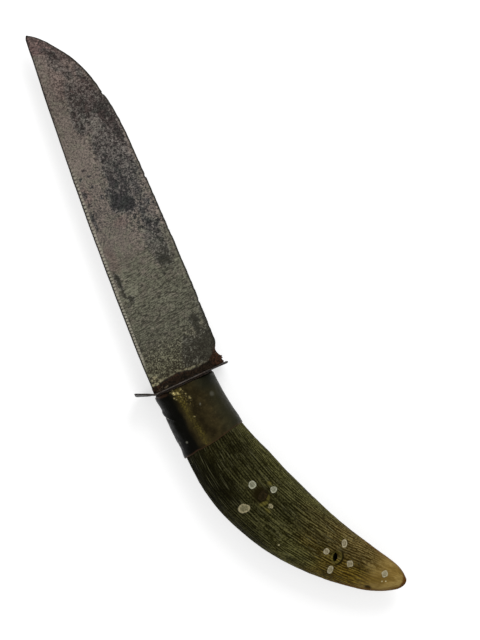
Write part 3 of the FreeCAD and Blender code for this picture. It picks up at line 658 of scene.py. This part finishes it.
def bladeMasks(x, y, fromBack, fromEdge, strayX, strayY, stain, teeth):
    b = bladeShape
    # the point is brown up to a line that runs slanting to the edge
    brownEnd = 0.783 * (x - 143.4) - 0.622 * (y - 1.8) + 1.2 * uneven(x, y, 0, 3, 99)
    brownEnd = fade(-0.9, 1.3, brownEnd) * fade(133.5, 137.5, x)
    brown = np.maximum(brownEnd, 0.4 * fade(120, 134, x) * fade(0.5, -3, y))
    bare = smoothCurve(b["tones"], x) + 3.5 * uneven(x, y, 0, 6, 97)
    bare = bare - 10 * fade(2.6, 0.8, fromEdge) * fade(112, 126, x) - 13 * brownEnd
    bare = bare + 9 * blot(x, y, (43, 7), (10, 5))
    darkest, lightest = linearLight(b["toneSpan"])
    specks = smoothCurve(b["specks"], x) + 0.12 * fade(-4, -9, y) * fade(40, 60, x)
    scale = specks + (1 - specks) * stain + 0.12 * brownEnd
    mottle = 0.8 - 0.42 * blot(strayX, strayY, (58, 2), (20, 11)) - 0.18 * fade(70, 90, x)
    mottle = mottle - 0.18 * fade(-4, 0, y) * fade(80, 92, x)
    mottle = mottle * (1 - 0.5 * fade(10, 20, x) * fade(60, 46, x)) + 0.3 * fade(24, 10, x)
    # rust at the root, with a painted highlight strip beside it
    past = x - smoothCurve(crustShape["front"], -y) - 0.45 * uneven(x, y, 0, 1.8, 121)
    paintedShine = fade(-0.1, 0.35, past) * fade(1.5, 0.6, past) * smoothCurve(b["paintedShine"], y)
    # and a painted highlight by the back near the guard
    paintedShine = np.maximum(paintedShine, 0.9 * blot(x, y, (5.4, 11.6), (1.3, 1.7), 15))
    # a painted highlight on the teeth's edges lightens the band along the back between them
    toothHighlight = fade(1.9, 1.1, fromBack) * fade(0.35, 0.7, fromBack)
    return dict(level=(linearLight(bare) - darkest) / (lightest - darkest), mottle=mottle,
                scale=np.clip(scale, 0, 1.15), filed=fade(4, 18, x) * fade(66, 44, x),
                brown=patches(strayX, strayY, b["brown"], start=brown), rust=fade(0.5, -0.3, past),
                olive=fade(72, 34, 2 * strayX - x), ruddy=fade(70, 128, x),
                paintedShine=np.clip(paintedShine, 0, 1), rungs=teeth,
                toothHighlight=toothHighlight * fade(4, 18, x) * fade(112, 80, x),
                # painted shade along the back
                spineShade=fade(0.62, 0.22, fromBack), heel=blot(x, y, (3.4, -15.6), (4.6, 2.4), -12),
                nearGuard=fade(22, 8, x), edgeDark=fade(0.95, 0.35, fromEdge))


def buildBlade():
    b, t = bladeShape, bladeShape["tang"]
    xs = np.concatenate([np.linspace(0, 10, 84)[:-1], np.linspace(10, 145, 606)[:-1],
                         np.linspace(145, b["length"], 46)])
    edge = smoothCurve(b["edge"], xs) + 0.1 * uneven(xs, 0, 0, 1.8, 81) * fade(8, 14, xs)
    edge = patches(xs, 0, b["nicks"], np.add, edge)
    back = smoothCurve(b["back"], xs) + 0.05 * uneven(xs, 0, 0, 5, 83, 2)
    xs = xs + 0.4 * fade(141, b["length"], xs)
    # across the face: closer rows by the back and by the edge
    rows = np.linspace(0, 1, b["faceRows"])
    down = rows - 0.11 * np.sin(2 * math.pi * rows)
    fromBack = (back - edge)[:, None] * down
    fromEdge = (back - edge)[:, None] - fromBack
    x, y = xs[:, None] + 0 * down, back[:, None] - fromBack
    halfBack = (b["backThick"] + (b["pointThick"] - b["backThick"]) * xs[:, None] / b["length"]) / 2
    half = halfBack + (b["edgeThick"] / 2 - halfBack) * down ** 1.15
    half = half * (0.55 + 0.45 * fade(0, 1.6, fromEdge)) + 0.02
    teeth = fileTeeth(x, fromBack) * fade(1.6, 1, fromBack)
    half = half - b["backRound"] * fade(0.75, 0, fromBack)
    half = half - b["toothDepth"] * teeth * fade(0.05, 0.4, fromBack)
    strayX, strayY = x + 1.1 * uneven(x, y, 0, 3.6, 91, 4), y + 0.8 * uneven(x, y, 0, 3.6, 95, 4)
    stain = 1 - patches(strayX, strayY, b["scale"], lambda clear, patch: clear * (1 - patch), 1)
    pits = b["scaleDepth"] * stain * np.clip(0.5 + 0.5 * uneven(x, y, 0, 2.2, 101), 0, 1)
    wear = b["waviness"] * uneven(x, y, 0, 7, 105)
    sides = []
    for side, layer in ((1, 0), (-1, 200)):
        sink = pits + b["pitDepth"] * uneven(x, y, layer, 1.1, 111, 2)
        sides.append(np.stack([x, y, side * (half - (sink - wear) * fade(0, 2.5, fromEdge))], -1))
    # each ring goes up one side, over the toothed spine and down the other
    across = np.linspace(1, -1, b["backCuts"] + 2)[1:-1]
    corner = sides[0][:, :1]
    notch = b["notchDepth"] * fileTeeth(xs, 0)[:, None]
    spine = np.stack([corner[..., 0] + 0 * across, corner[..., 1] + 0.05 - notch + 0 * across,
                      corner[..., 2] * across], -1)
    rings = np.concatenate([sides[0][:, ::-1], spine, sides[1]], 1)
    faces = ringFaces(*rings.shape[:2])
    reach = np.linspace(*t["reach"], t["cuts"])[:, None]
    halfWidth = (t["wide"] + (t["narrow"] - t["wide"]) * np.maximum(reach, 0) / t["length"]) / 2
    height = t["height"] + np.array([-1, 1, 1, -1]) * halfWidth
    tang = gripPoints(reach + 0 * height, height, np.array([-1, -1, 1, 1]) * t["halfThick"] + 0 * height)
    start = rings[..., 0].size
    faces += [[start + n for n in face] for face in ringFaces(t["cuts"], 4)]
    points = np.concatenate([rings.reshape(-1, 3), tang.reshape(-1, 3)])
    masks = bladeMasks(x, y, fromBack, fromEdge, strayX, strayY, stain, teeth)
    # the spine face is painted dark as shade
    onSpine = dict(rust=0.2, spineShade=1)
    for name, values in masks.items():
        middle = np.full(spine.shape[:2], onSpine.get(name, 0))
        values = np.concatenate([values[:, ::-1], middle, values], 1)
        masks[name] = np.append(values, np.zeros(tang[..., 0].size))
    return makeMesh("fileSteelBlade", points, faces, masks)


def bladeFinish():
    steel = Finish("oldFileSteel", Metallic=0.5, Roughness=0.5, Specular_IOR_Level=0.2,
                   Specular_Tint=(1, 0.95, 0.91, 1))
    place = steel.place()
    upright = steel.stretched(place, (1, 0.75, 1))
    grain = steel.noise(upright, 1250, 2)
    speck = steel.noise(upright, 2300, 1)
    blots = steel.noise(place, 900, 4, 0.68)
    hue = steel.noise(place, 260, 3, 0.65)
    strokes = steel.noise(steel.stretched(place, (1, 0.04, 1), 5.5), 1700, 2)
    dashes = steel.noise(steel.stretched(place, (1, 0.2, 1), 5.5), 2400, 1)
    # two greys for bare steel, one purplish and one olive, and a bluish or olive black for the scale
    tint = steel.times("brown", steel.between(hue, 0.35, 0.6, 0.6, 1))
    light = steel.coats(
        steel.mix(steel.plus("olive", steel.between(hue, 0.35, 0.65, -0.45, 0.45)), (127, 116, 107), (120, 119, 102)),
        (steel.times("nearGuard", 0.8), (119, 117, 93)),
        (tint, (124, 101, 96)),
        (steel.between("scale", 0.25, 0.6, 0, 0.6), (112, 110, 106)))
    dark = steel.coats(
        steel.mix("ruddy", (31, 32, 33), (38, 32, 29)),
        ("olive", (33, 33, 24)),
        (steel.times("nearGuard", 0.7), (38, 32, 20)),
        (steel.times(tint, 0.7), (46, 36, 35)))
    waves = steel.plus(steel.times(steel.minus(grain, 0.5), 2.1), steel.times(steel.minus(speck, 0.5), 2.6))
    level = steel.plus("level", steel.times(waves, "mottle"))
    # scale eats into the bare steel in fine threads
    veins = steel.reckon("ABSOLUTE", steel.minus(steel.noise(place, 480, 2, warp=0.6), 0.5))
    veins = steel.times(steel.between(veins, 0.05, 0.012), steel.between("scale", 0.2, 0.5, 0, 0.36))
    veins = steel.times(veins, steel.between("scale", 0.98, 0.72))
    scale = steel.minus(steel.plus("scale", steel.times(steel.minus(blots, 0.5), 2.3)), veins)
    scale = steel.between(scale, 0.22, 0.76)
    crusted = steel.mix(steel.between(hue, 0.42, 0.6), steel.mix("ruddy", (60, 58, 59), (77, 64, 60)),
                        steel.mix("ruddy", (59, 62, 59), (68, 67, 62)))
    crusted = steel.mix("olive", crusted, (62, 61, 50))
    crusted = steel.mix(steel.between(waves, -0.4, 0.65), steel.mix(0.45, dark, (8, 7, 6)), crusted)
    strokes = steel.times(steel.between(strokes, 0.5, 0.62), "filed")
    dashes = steel.times(steel.between(dashes, 0.515, 0.6), "filed")
    base = steel.coats(
        steel.mix(steel.between(level, -0.05, 1.1), dark, light),
        (scale, crusted),
        (steel.times(strokes, 0.5), (58, 56, 46)),
        (steel.times(dashes, 0.85), (40, 39, 32)),
        # painted highlight between the teeth
        (steel.between(steel.minus("toothHighlight", "rungs"), 0.2, 0.9, 0, 0.7), (150, 145, 131)),
        (steel.times("rungs", 0.6), (48, 46, 38)),
        # painted highlight beside the rust
        (steel.times("paintedShine", steel.between(grain, 0.34, 0.6)), (150, 143, 112)),
        # painted shade along the back
        ("spineShade", (26, 24, 20)),
        (steel.times("edgeDark", 0.9), (28, 27, 22)),
        ("rust", steel.mix(steel.between(grain, 0.4, 0.6), (14, 10, 5), (42, 29, 18))),
        ("heel", steel.mix(steel.between(blots, 0.4, 0.62), (20, 13, 8), (74, 44, 29))))
    dull = steel.reckon("MAXIMUM", "rust", steel.times(scale, 0.8))
    relief = steel.bump(scale, 0.04, 0.7, Normal=steel.bump(grain, 0.05, 0.7))
    return steel.wear(Base_Color=base, Roughness=steel.between(dull, 0, 1, 0.42, 0.8), Normal=relief,
                      Metallic=steel.between(dull, 0.1, 1, 0.55, 0.15))


# rust where the blade meets the guard: the front line is how far it reaches, from the back to the edge
crustShape = dict(
    thick=0.55, cuts=(260, 14), back=14.15, length=30.6,
    steelHalf=1.5, steelTaper=1.3,  # half the steel's thickness at the back, and how much of it is gone at the edge
    heelAt=-15.2, heelEnd=-16.6, heelReach=1.4,
    front=[(-14.2, 2.3), (-11.4, 2.9), (-7, 3.5), (-1.4, 3.8), (2, 3.1), (5.2, 2.6), (9, 2.7), (11, 3.1),
           (13, 4.2), (14.4, 5.4), (16, 6.8)])


def buildCrust(side):
    c = crustShape
    down, out = np.linspace(0, 1, c["cuts"][0])[:, None], np.linspace(0, 1, c["cuts"][1])
    y = c["back"] - c["length"] * down
    reach = smoothCurve(c["front"], -y) + 0.55 * uneven(y, 0, side, 2, 131)
    # the cut-away heel has no steel under it past the guard, so the crust stops short there
    reach = np.minimum(reach, np.where(y < c["heelAt"], c["heelReach"] + 0.9 * (y - c["heelEnd"]), np.inf))
    x, y = 0.05 + np.maximum(reach, 0.3) * out, y + 0 * out
    onBlade = c["steelHalf"] - c["steelTaper"] * (14 - y) / c["length"]
    lumps = 1 + 0.55 * uneven(x, y, 0, 0.9, 137 + side)
    z = onBlade + np.maximum((1 - out ** 1.3) ** 1.4 * c["thick"] * lumps, 0)
    top, low = (np.stack([x, y, height * side], -1) for height in (z, onBlade - 0.25))
    rings = np.concatenate([top, low[:, ::-1]], 1)
    red = patches(x, y, [(2.6, -15, 3.6, 3.4, 1), (2, 12, 1.6, 2.2, 0.45)])
    red = np.maximum(red, 0.5 * fade(0.55, 0.9, out) * fade(-9, 2, y))
    masks = dict(red=red, fleck=0.5 * blot(x, y, (0.9, 9.5), (1, 3)))
    masks = {name: np.concatenate([values, values[:, ::-1]], 1) for name, values in masks.items()}
    return makeTube("rootRustUpper" if side > 0 else "rootRustLower", rings, masks)


def crustFinish():
    rust = Finish("rootRust", Roughness=0.9, Metallic=0, Specular_IOR_Level=0.1)
    place = rust.place()
    lumps = rust.noise(place, 1100, 4, 0.7)
    broad = rust.noise(place, 300, 3)
    base = rust.coats(
        rust.mix(rust.between(lumps, 0.38, 0.64), (10, 7, 3), (38, 28, 18)),
        (rust.between(broad, 0.54, 0.7, 0, 0.4), (42, 27, 16)),
        (rust.times("red", rust.between(lumps, 0.4, 0.62, 0.05, 1)), (66, 41, 26)),
        (rust.times("fleck", rust.between(lumps, 0.5, 0.64)), (120, 108, 88)))
    return rust.wear(Base_Color=base, Normal=rust.bump(lumps, 0.25, 1))


guardShape = dict(edgeEnd=-18.1, bendAt=13.9, tip=(2.75, 21.35), thick=0.78, halfDepth=10.4, corner=6.5,
                  bendSoft=0.7, rimLumps=0.06, warp=0.14, wingTwist=0.55, cuts=(190, 46))


def buildGuard():
    g = guardShape
    flatLength = g["bendAt"] - g["edgeEnd"]
    wingX, wingY = g["tip"][0] + g["thick"] / 2, g["tip"][1] - g["bendAt"]
    total = flatLength + math.hypot(wingX, wingY)
    run = np.linspace(0, 1, g["cuts"][0]) * total
    tilt = math.atan2(wingX, wingY) * fade(flatLength - g["bendSoft"], flatLength + g["bendSoft"], run)
    step = np.diff(run, prepend=0)
    x = -g["thick"] / 2 + np.cumsum(np.sin(tilt) * step)
    y = g["edgeEnd"] + np.cumsum(np.cos(tilt) * step)
    y = y + (g["tip"][1] - y[-1]) * fade(flatLength, total, run)
    x, y, run, tilt = (a[:, None] for a in (x, y, run, tilt))
    fromEnd = np.minimum(run, total - run)
    into = np.clip(g["corner"] - fromEnd, 0, g["corner"])
    depth = g["halfDepth"] - g["corner"] + np.sqrt(np.maximum(g["corner"] ** 2 - into ** 2, 0))
    side = np.sin(np.linspace(-math.pi / 2, math.pi / 2, g["cuts"][1]))
    z = np.maximum(depth, 1.5) * side
    z = z + g["rimLumps"] * uneven(run, 0, np.sign(z) * 9, 2.6, 141) * np.abs(side) ** 6
    wave = g["warp"] * uneven(y, z, 0, 9, 145, 2) * fade(12, 17, np.abs(y))
    wave = wave + g["wingTwist"] * fade(13.5, 17, y) * side
    half = g["thick"] / 2 * (1 - 0.5 * np.abs(side) ** 14) * (0.55 + 0.45 * fade(0, 0.7, fromEnd))
    skin = 0.02 * uneven(y, z, 0, 1.2, 149, 2)
    normalX, normalY = np.cos(tilt), -np.sin(tilt)
    front = np.stack([x + wave + (half + skin) * normalX, y + half * normalY, z], -1)
    rear = np.stack([x + wave - half * normalX, y - half * normalY, z], -1)
    rings = np.concatenate([front, rear[:, ::-1]], 1)
    # rim: a painted highlight along the front half of the plate's edge and at its ends, fainter on the wing and
    # towards the edge end
    rim = np.abs(side) ** 18 + fade(0.5, 0, fromEnd)
    rim = np.concatenate([rim, 0.12 * rim[:, ::-1]], 1) * (1 - 0.7 * fade(12.5, 15, y))
    rim = rim * (0.3 + 0.7 * fade(-12, -5, y)) * (0.8 + 0.35 * uneven(y, 0, 0, 2.4, 147, 2))
    isRear = np.repeat([0, 1], len(side))
    # painted shade: the rear face is painted dark, and the plate darker towards both ends
    darkening = isRear + 0.6 * fade(-9, -15, y) + 0.6 * fade(13, 15, y)
    masks = dict(rim=np.clip(rim, 0, 1), darkening=np.clip(darkening, 0, 1))
    return makeTube("ironGuard", rings, masks)


def guardFinish():
    iron = Finish("dullGuardIron", Metallic=0.6, Roughness=0.6, Specular_IOR_Level=0.2)
    place = iron.place()
    grain = iron.noise(place, 1100, 4, 0.7)
    broad = iron.noise(place, 200, 3)
    base = iron.coats(
        iron.mix(iron.between(grain, 0.38, 0.62), (20, 17, 13), (48, 42, 36)),
        (iron.between(broad, 0.48, 0.66, 0, 0.75), (50, 30, 18)),
        # painted shade on the rear face, and darker ends
        (iron.times("darkening", 0.7), (20, 18, 15)),
        # painted highlight along the edge
        (iron.times("rim", iron.between(grain, 0.36, 0.6, 0.25, 1)), (98, 90, 84)))
    return iron.wear(Base_Color=base, Normal=iron.bump(grain, 0.08, 0.8),
                     Roughness=iron.between(broad, 0.4, 0.7, 0.5, 0.8))


# packing between guard and ferrule, rounded at both faces
packingShape = dict(front=-0.82, back=-1.38, width=12, depth=8.95, round=(0.12, 0.1), cuts=150)


def buildPacking():
    p = packingShape
    turns = evenTurns(p["cuts"])
    outward = 1 + 0.02 * uneven(3 * np.cos(turns), 3 * np.sin(turns), 0, 0.8, 151)
    outward = outward + 0.045 * fade(0.7, 0.95, np.cos(turns))
    inset, bulge = p["round"]
    rings = []
    for x, grow in ((p["front"], 0), (p["front"] - inset, bulge), (p["back"] + inset, bulge), (p["back"], 0)):
        y = gripShape["offset"] + (p["width"] + grow) * outward * np.cos(turns)
        rings.append(np.stack([0 * turns + x, y, (p["depth"] + grow) * outward * np.sin(turns)], -1))
    return makeTube("packingWasher", rings, {})


def plainFinish(name, scale, dark, pale, relief, rough=0.6, **sockets):
    # one noise for both the colour and the relief
    plain = Finish(name, **sockets)
    lumps = plain.noise(plain.place(), scale, 4, rough)
    return plain.wear(Base_Color=plain.mix(plain.between(lumps, 0.35, 0.65), dark, pale),
                      Normal=plain.bump(lumps, *relief))


# pins by node: place on the grip, size, radii at even turns, lengthwise stretch, turn and look
pinShapes = dict(
    front_pin_fore=dict(at=(50.15, -1.4), size=1.62, stretch=1, turn=0, look="dull",
                        outline=(1, 1.03, 1, 0.97, 1, 1.04, 1, 0.98)),
    front_pin_edge=dict(at=(57.65, -6.2), size=1.38, stretch=1, turn=20, look="dull",
                        outline=(1, 1.08, 0.95, 1.05, 1, 0.94, 1.06, 1)),
    front_pin_back=dict(at=(54.6, 7.5), size=1.95, stretch=1, turn=-15, look="yellow",
                        outline=(1.08, 0.88, 1.08, 1.26, 0.98, 0.94, 0.94, 1.3)),
    front_pin_aft=dict(at=(61.4, -0.6), size=1, stretch=1, turn=10, look="yellow",
                       outline=(1.1, 0.85, 1.15, 0.8, 1.05, 0.95, 0.85, 1.1)),
    rear_pin_fore=dict(at=(90.1, 0.9), size=1.3, stretch=0.9, turn=0, look="worn",
                       outline=(1, 1.05, 0.96, 1.06, 0.97, 1.02, 1, 1.03)),
    rear_pin_edge=dict(at=(95, -5.3), size=1.5, stretch=0.88, turn=-12, look="worn",
                       outline=(0.9, 1.12, 1.12, 0.85, 0.9, 1.12, 1.1, 0.88)),
    rear_pin_back=dict(at=(94.8, 6.6), size=1.5, stretch=0.82, turn=6, look="pale",
                       outline=(0.86, 1.1, 1.14, 0.88, 0.86, 1.08, 1.14, 0.9)),
    rear_pin_aft=dict(at=(100.7, 1), size=1.4, stretch=0.95, turn=12, look="worn",
                      outline=(1.12, 0.92, 1.12, 0.9, 1.1, 0.92, 1.1, 0.9)),
    butt_pin=dict(at=(115.1, -0.3), size=1.42, stretch=0.9, turn=8, look="pale",
                  outline=(1.08, 0.98, 1.1, 0.94, 1.05, 0.96, 1.1, 0.95)))
rivetShape = dict(at=(56.2, -1.4), size=1.9, stretch=0.95, turn=-8, outline=(1, 1.15, 1.3, 1.1, 1, 1.1, 1.25, 1.1))
# the heads' steps are shares of the radius and heights over the horn
headShape = dict(points=36, shank=0.8, shankDepth=1.2, brim=(0.66, 0.97), pinSeed=200, rivetSeed=230,
                 steps=((1, -0.25), (1, 0.06), (0.95, 0.16), (0.86, 0.19), (0.78, 0.15), (0.7, 0.09),
                        (0.6, 0.08), (0.45, 0.11), (0.22, 0.12)))
# colours of the pin heads: middle, stains in it and the brim
pinTones = dict(dull=((114, 114, 94), (84, 84, 64), (160, 160, 138)),
                yellow=((112, 106, 76), (82, 78, 46), (158, 148, 114)),
                worn=((126, 118, 92), (96, 86, 58), (160, 152, 124)),
                pale=((138, 131, 104), (108, 98, 68), (172, 164, 136)))


def buildPin(node, shape, seed):
    # a head on each side of the horn, joined by the shank
    h = headShape
    turns = evenTurns(h["points"])
    corners = enumerate((*shape["outline"], shape["outline"][0]))
    radius = smoothCurve([(k * math.pi / 4, part) for k, part in corners], turns) * shape["size"]
    deep = float(hornHeight(*shape["at"])) - h["shankDepth"]
    upper = [(share, lift, 1) for share, lift in reversed(h["steps"])] + [(h["shank"], None, 1)]
    lower = [(share, lift, -1) for share, lift, side in reversed(upper)]
    rings, brim = [], []
    for share, lift, side in upper + lower:
        wobble = 1 + 0.05 * uneven(2 * np.cos(turns), 2 * np.sin(turns), side, 0.9, seed, 2)
        reach = radius * share * wobble
        u, v = turned(reach * np.cos(turns) * shape["stretch"], reach * np.sin(turns), shape["at"], shape["turn"])
        z = 0 * u + deep
        if lift is not None:
            surface = hornHeight(u, v)
            z = surface + hornLift(u, v, surface) + lift + 0.02 * uneven(u, v, 0, 0.7, seed + 40, 2)
        rings.append(gripPoints(u, v, z * side))
        brim.append(0 * u + (lift is not None and h["brim"][0] < share <= h["brim"][1]))
    return makeTube(node + "_head", rings, dict(brim=brim))


def pinFinish(look):
    metal = Finish(look + "TinPin", Metallic=0.35, Roughness=0.6)
    grain = metal.noise(metal.place(), 1500, 4, 0.7)
    middle, stains, brim = pinTones[look]
    base = metal.mix(metal.between(grain, 0.38, 0.66), middle, stains)
    base = metal.mix(metal.times("brim", metal.between(grain, 0.36, 0.6, 0.85, 0.3)), base, brim)
    return metal.wear(Base_Color=base, Normal=metal.bump(grain, 0.06, 0.8))


def fit(piece, finish, slotName, *nodes):
    piece.data.materials.clear()
    piece.data.materials.append(finish)
    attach(piece, "root")
    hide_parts(*nodes)


blade = buildBlade()
fit(blade, bladeFinish(), "blade_steel", "blade")
crust = crustFinish()
for side in (1, -1):
    fit(buildCrust(side), crust, "blade_steel", "blade")
print("blade done,", len(blade.data.polygons), "faces")
fit(buildGuard(), guardFinish(), "guard_iron", "guard")
hide = plainFinish("driedPacking", 800, (14, 11, 8), (52, 34, 18), (0.15, 1), 0.7, Roughness=0.95)
fit(buildPacking(), hide, "packing", "packing_washer")
fit(buildFerrule(), ferruleFinish(), "ferrule_brass", "ferrule")
print("guard, packing and ferrule done")
horn = buildHorn()
fit(horn, hornFinish(), "horn", "horn_grip")
print("horn done,", len(horn.data.polygons), "faces")
pinFinishes = {look: pinFinish(look) for look in pinTones}
for index, (node, shape) in enumerate(pinShapes.items()):
    fit(buildPin(node, shape, headShape["pinSeed"] + index), pinFinishes[shape["look"]], "pin_metal", node)
iron = plainFinish("brownRivetIron", 900, (21, 17, 6), (35, 27, 12), (0.06, 0.6), 0.7,
                   Metallic=0.8, Roughness=0.55, Specular_IOR_Level=0.1)
fit(buildPin("tang_rivet", rivetShape, headShape["rivetSeed"]), iron, "rivet_iron", "tang_rivet")
pitch = plainFinish("cutlersCement", 500, (34, 24, 16), (58, 44, 30), (0.2, 0.7), Roughness=0.7)
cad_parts["tang_cement"].data.materials.clear()
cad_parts["tang_cement"].data.materials.append(pitch)
print("pins and rivet done")


# lengths of the studio are in metres; from fadeFrom to fadeTo the paper turns plain white
studio = dict(floorSize=16, floorLift=0.62, floorColour=0.52, fadeFrom=0.17, fadeTo=0.45, worldLevel=0.55,
              keyWatts=3.6, keySize=(0.45, 0.45), keyAt=(0.35, -0.42, 0.55),
              fillWatts=0.55, fillSize=(0.1, 0.3), fillAt=(0, 0.36, 0.52))
white = (1, 1, 1, 1)


def shownPlain(tree):
    # 1 where the camera, a reflection or a glass looks, 0 for the light that falls on things
    rays = addNode(tree, "LightPath", {}).outputs
    top = rays["Is Camera Ray"]
    for kind in ("Is Glossy Ray", "Is Transmission Ray"):
        top = addNode(tree, "Math", {0: top, 1: rays[kind]}, operation="MAXIMUM").outputs[0]
    return top


def layTable():
    low, half = cadBox[0][2], studio["floorSize"] / 2
    corners = [(-half, -half, low), (half, -half, low), (half, half, low), (-half, half, low)]
    mesh = bpy.data.meshes.new("paleTable")
    mesh.from_pydata(corners, [], [(0, 1, 2, 3)])
    table = bpy.data.objects.new("paleTable", mesh)
    bpy.context.scene.collection.objects.link(table)
    paper = bpy.data.materials.new("whitePaper")
    paper.use_nodes = True
    tree = paper.node_tree
    tree.nodes.clear()
    matt = addNode(tree, "BsdfDiffuse", dict(Color=(*[studio["floorColour"]] * 3, 1)))
    level = addNode(tree, "Math", {0: shownPlain(tree), 1: studio["floorLift"]}, operation="MULTIPLY")
    lift = addNode(tree, "Emission", dict(Color=white, Strength=level.outputs[0]))
    both = addNode(tree, "AddShader", {0: matt.outputs[0], 1: lift.outputs[0]})
    # away from the knife the paper is plain white
    spot = addNode(tree, "NewGeometry", {})
    reach = addNode(tree, "VectorMath", {0: spot.outputs["Position"]}, operation="LENGTH").outputs["Value"]
    limits = {"Value": reach, "From Min": studio["fadeFrom"], "From Max": studio["fadeTo"]}
    away = addNode(tree, "MapRange", limits, interpolation_type="SMOOTHSTEP").outputs["Result"]
    plain = addNode(tree, "Emission", dict(Color=white))
    blend = addNode(tree, "MixShader", {0: away, 1: both.outputs[0], 2: plain.outputs[0]})
    addNode(tree, "OutputMaterial", dict(Surface=blend.outputs[0]))
    mesh.materials.append(paper)


def hangLamp(name, watts, size, spot):
    # a flat lamp that faces the middle of the frame
    lamp = bpy.data.lights.new(name, "AREA")
    lamp.energy = watts
    lamp.shape = "RECTANGLE"
    lamp.size, lamp.size_y = size
    holder = bpy.data.objects.new(name, lamp)
    bpy.context.scene.collection.objects.link(holder)
    holder.location = spot
    holder.rotation_euler = (-Vector(spot)).to_track_quat("-Z", "Y").to_euler()


def setWorld():
    world = bpy.data.worlds.new("paleRoom")
    bpy.context.scene.world = world
    world.use_nodes = True
    tree = world.node_tree
    levels = {"Value": shownPlain(tree), "To Min": studio["worldLevel"], "To Max": 1}
    level = addNode(tree, "MapRange", levels).outputs["Result"]
    for socket, value in dict(Color=white, Strength=level).items():
        connect(tree, value, tree.nodes["Background"].inputs[socket])


layTable()
hangLamp("windowKey", studio["keyWatts"], studio["keySize"], studio["keyAt"])
hangLamp("stripFill", studio["fillWatts"], studio["fillSize"], studio["fillAt"])
setWorld()
bpy.context.scene.view_settings.view_transform = "Standard"
print("table and lamps done")
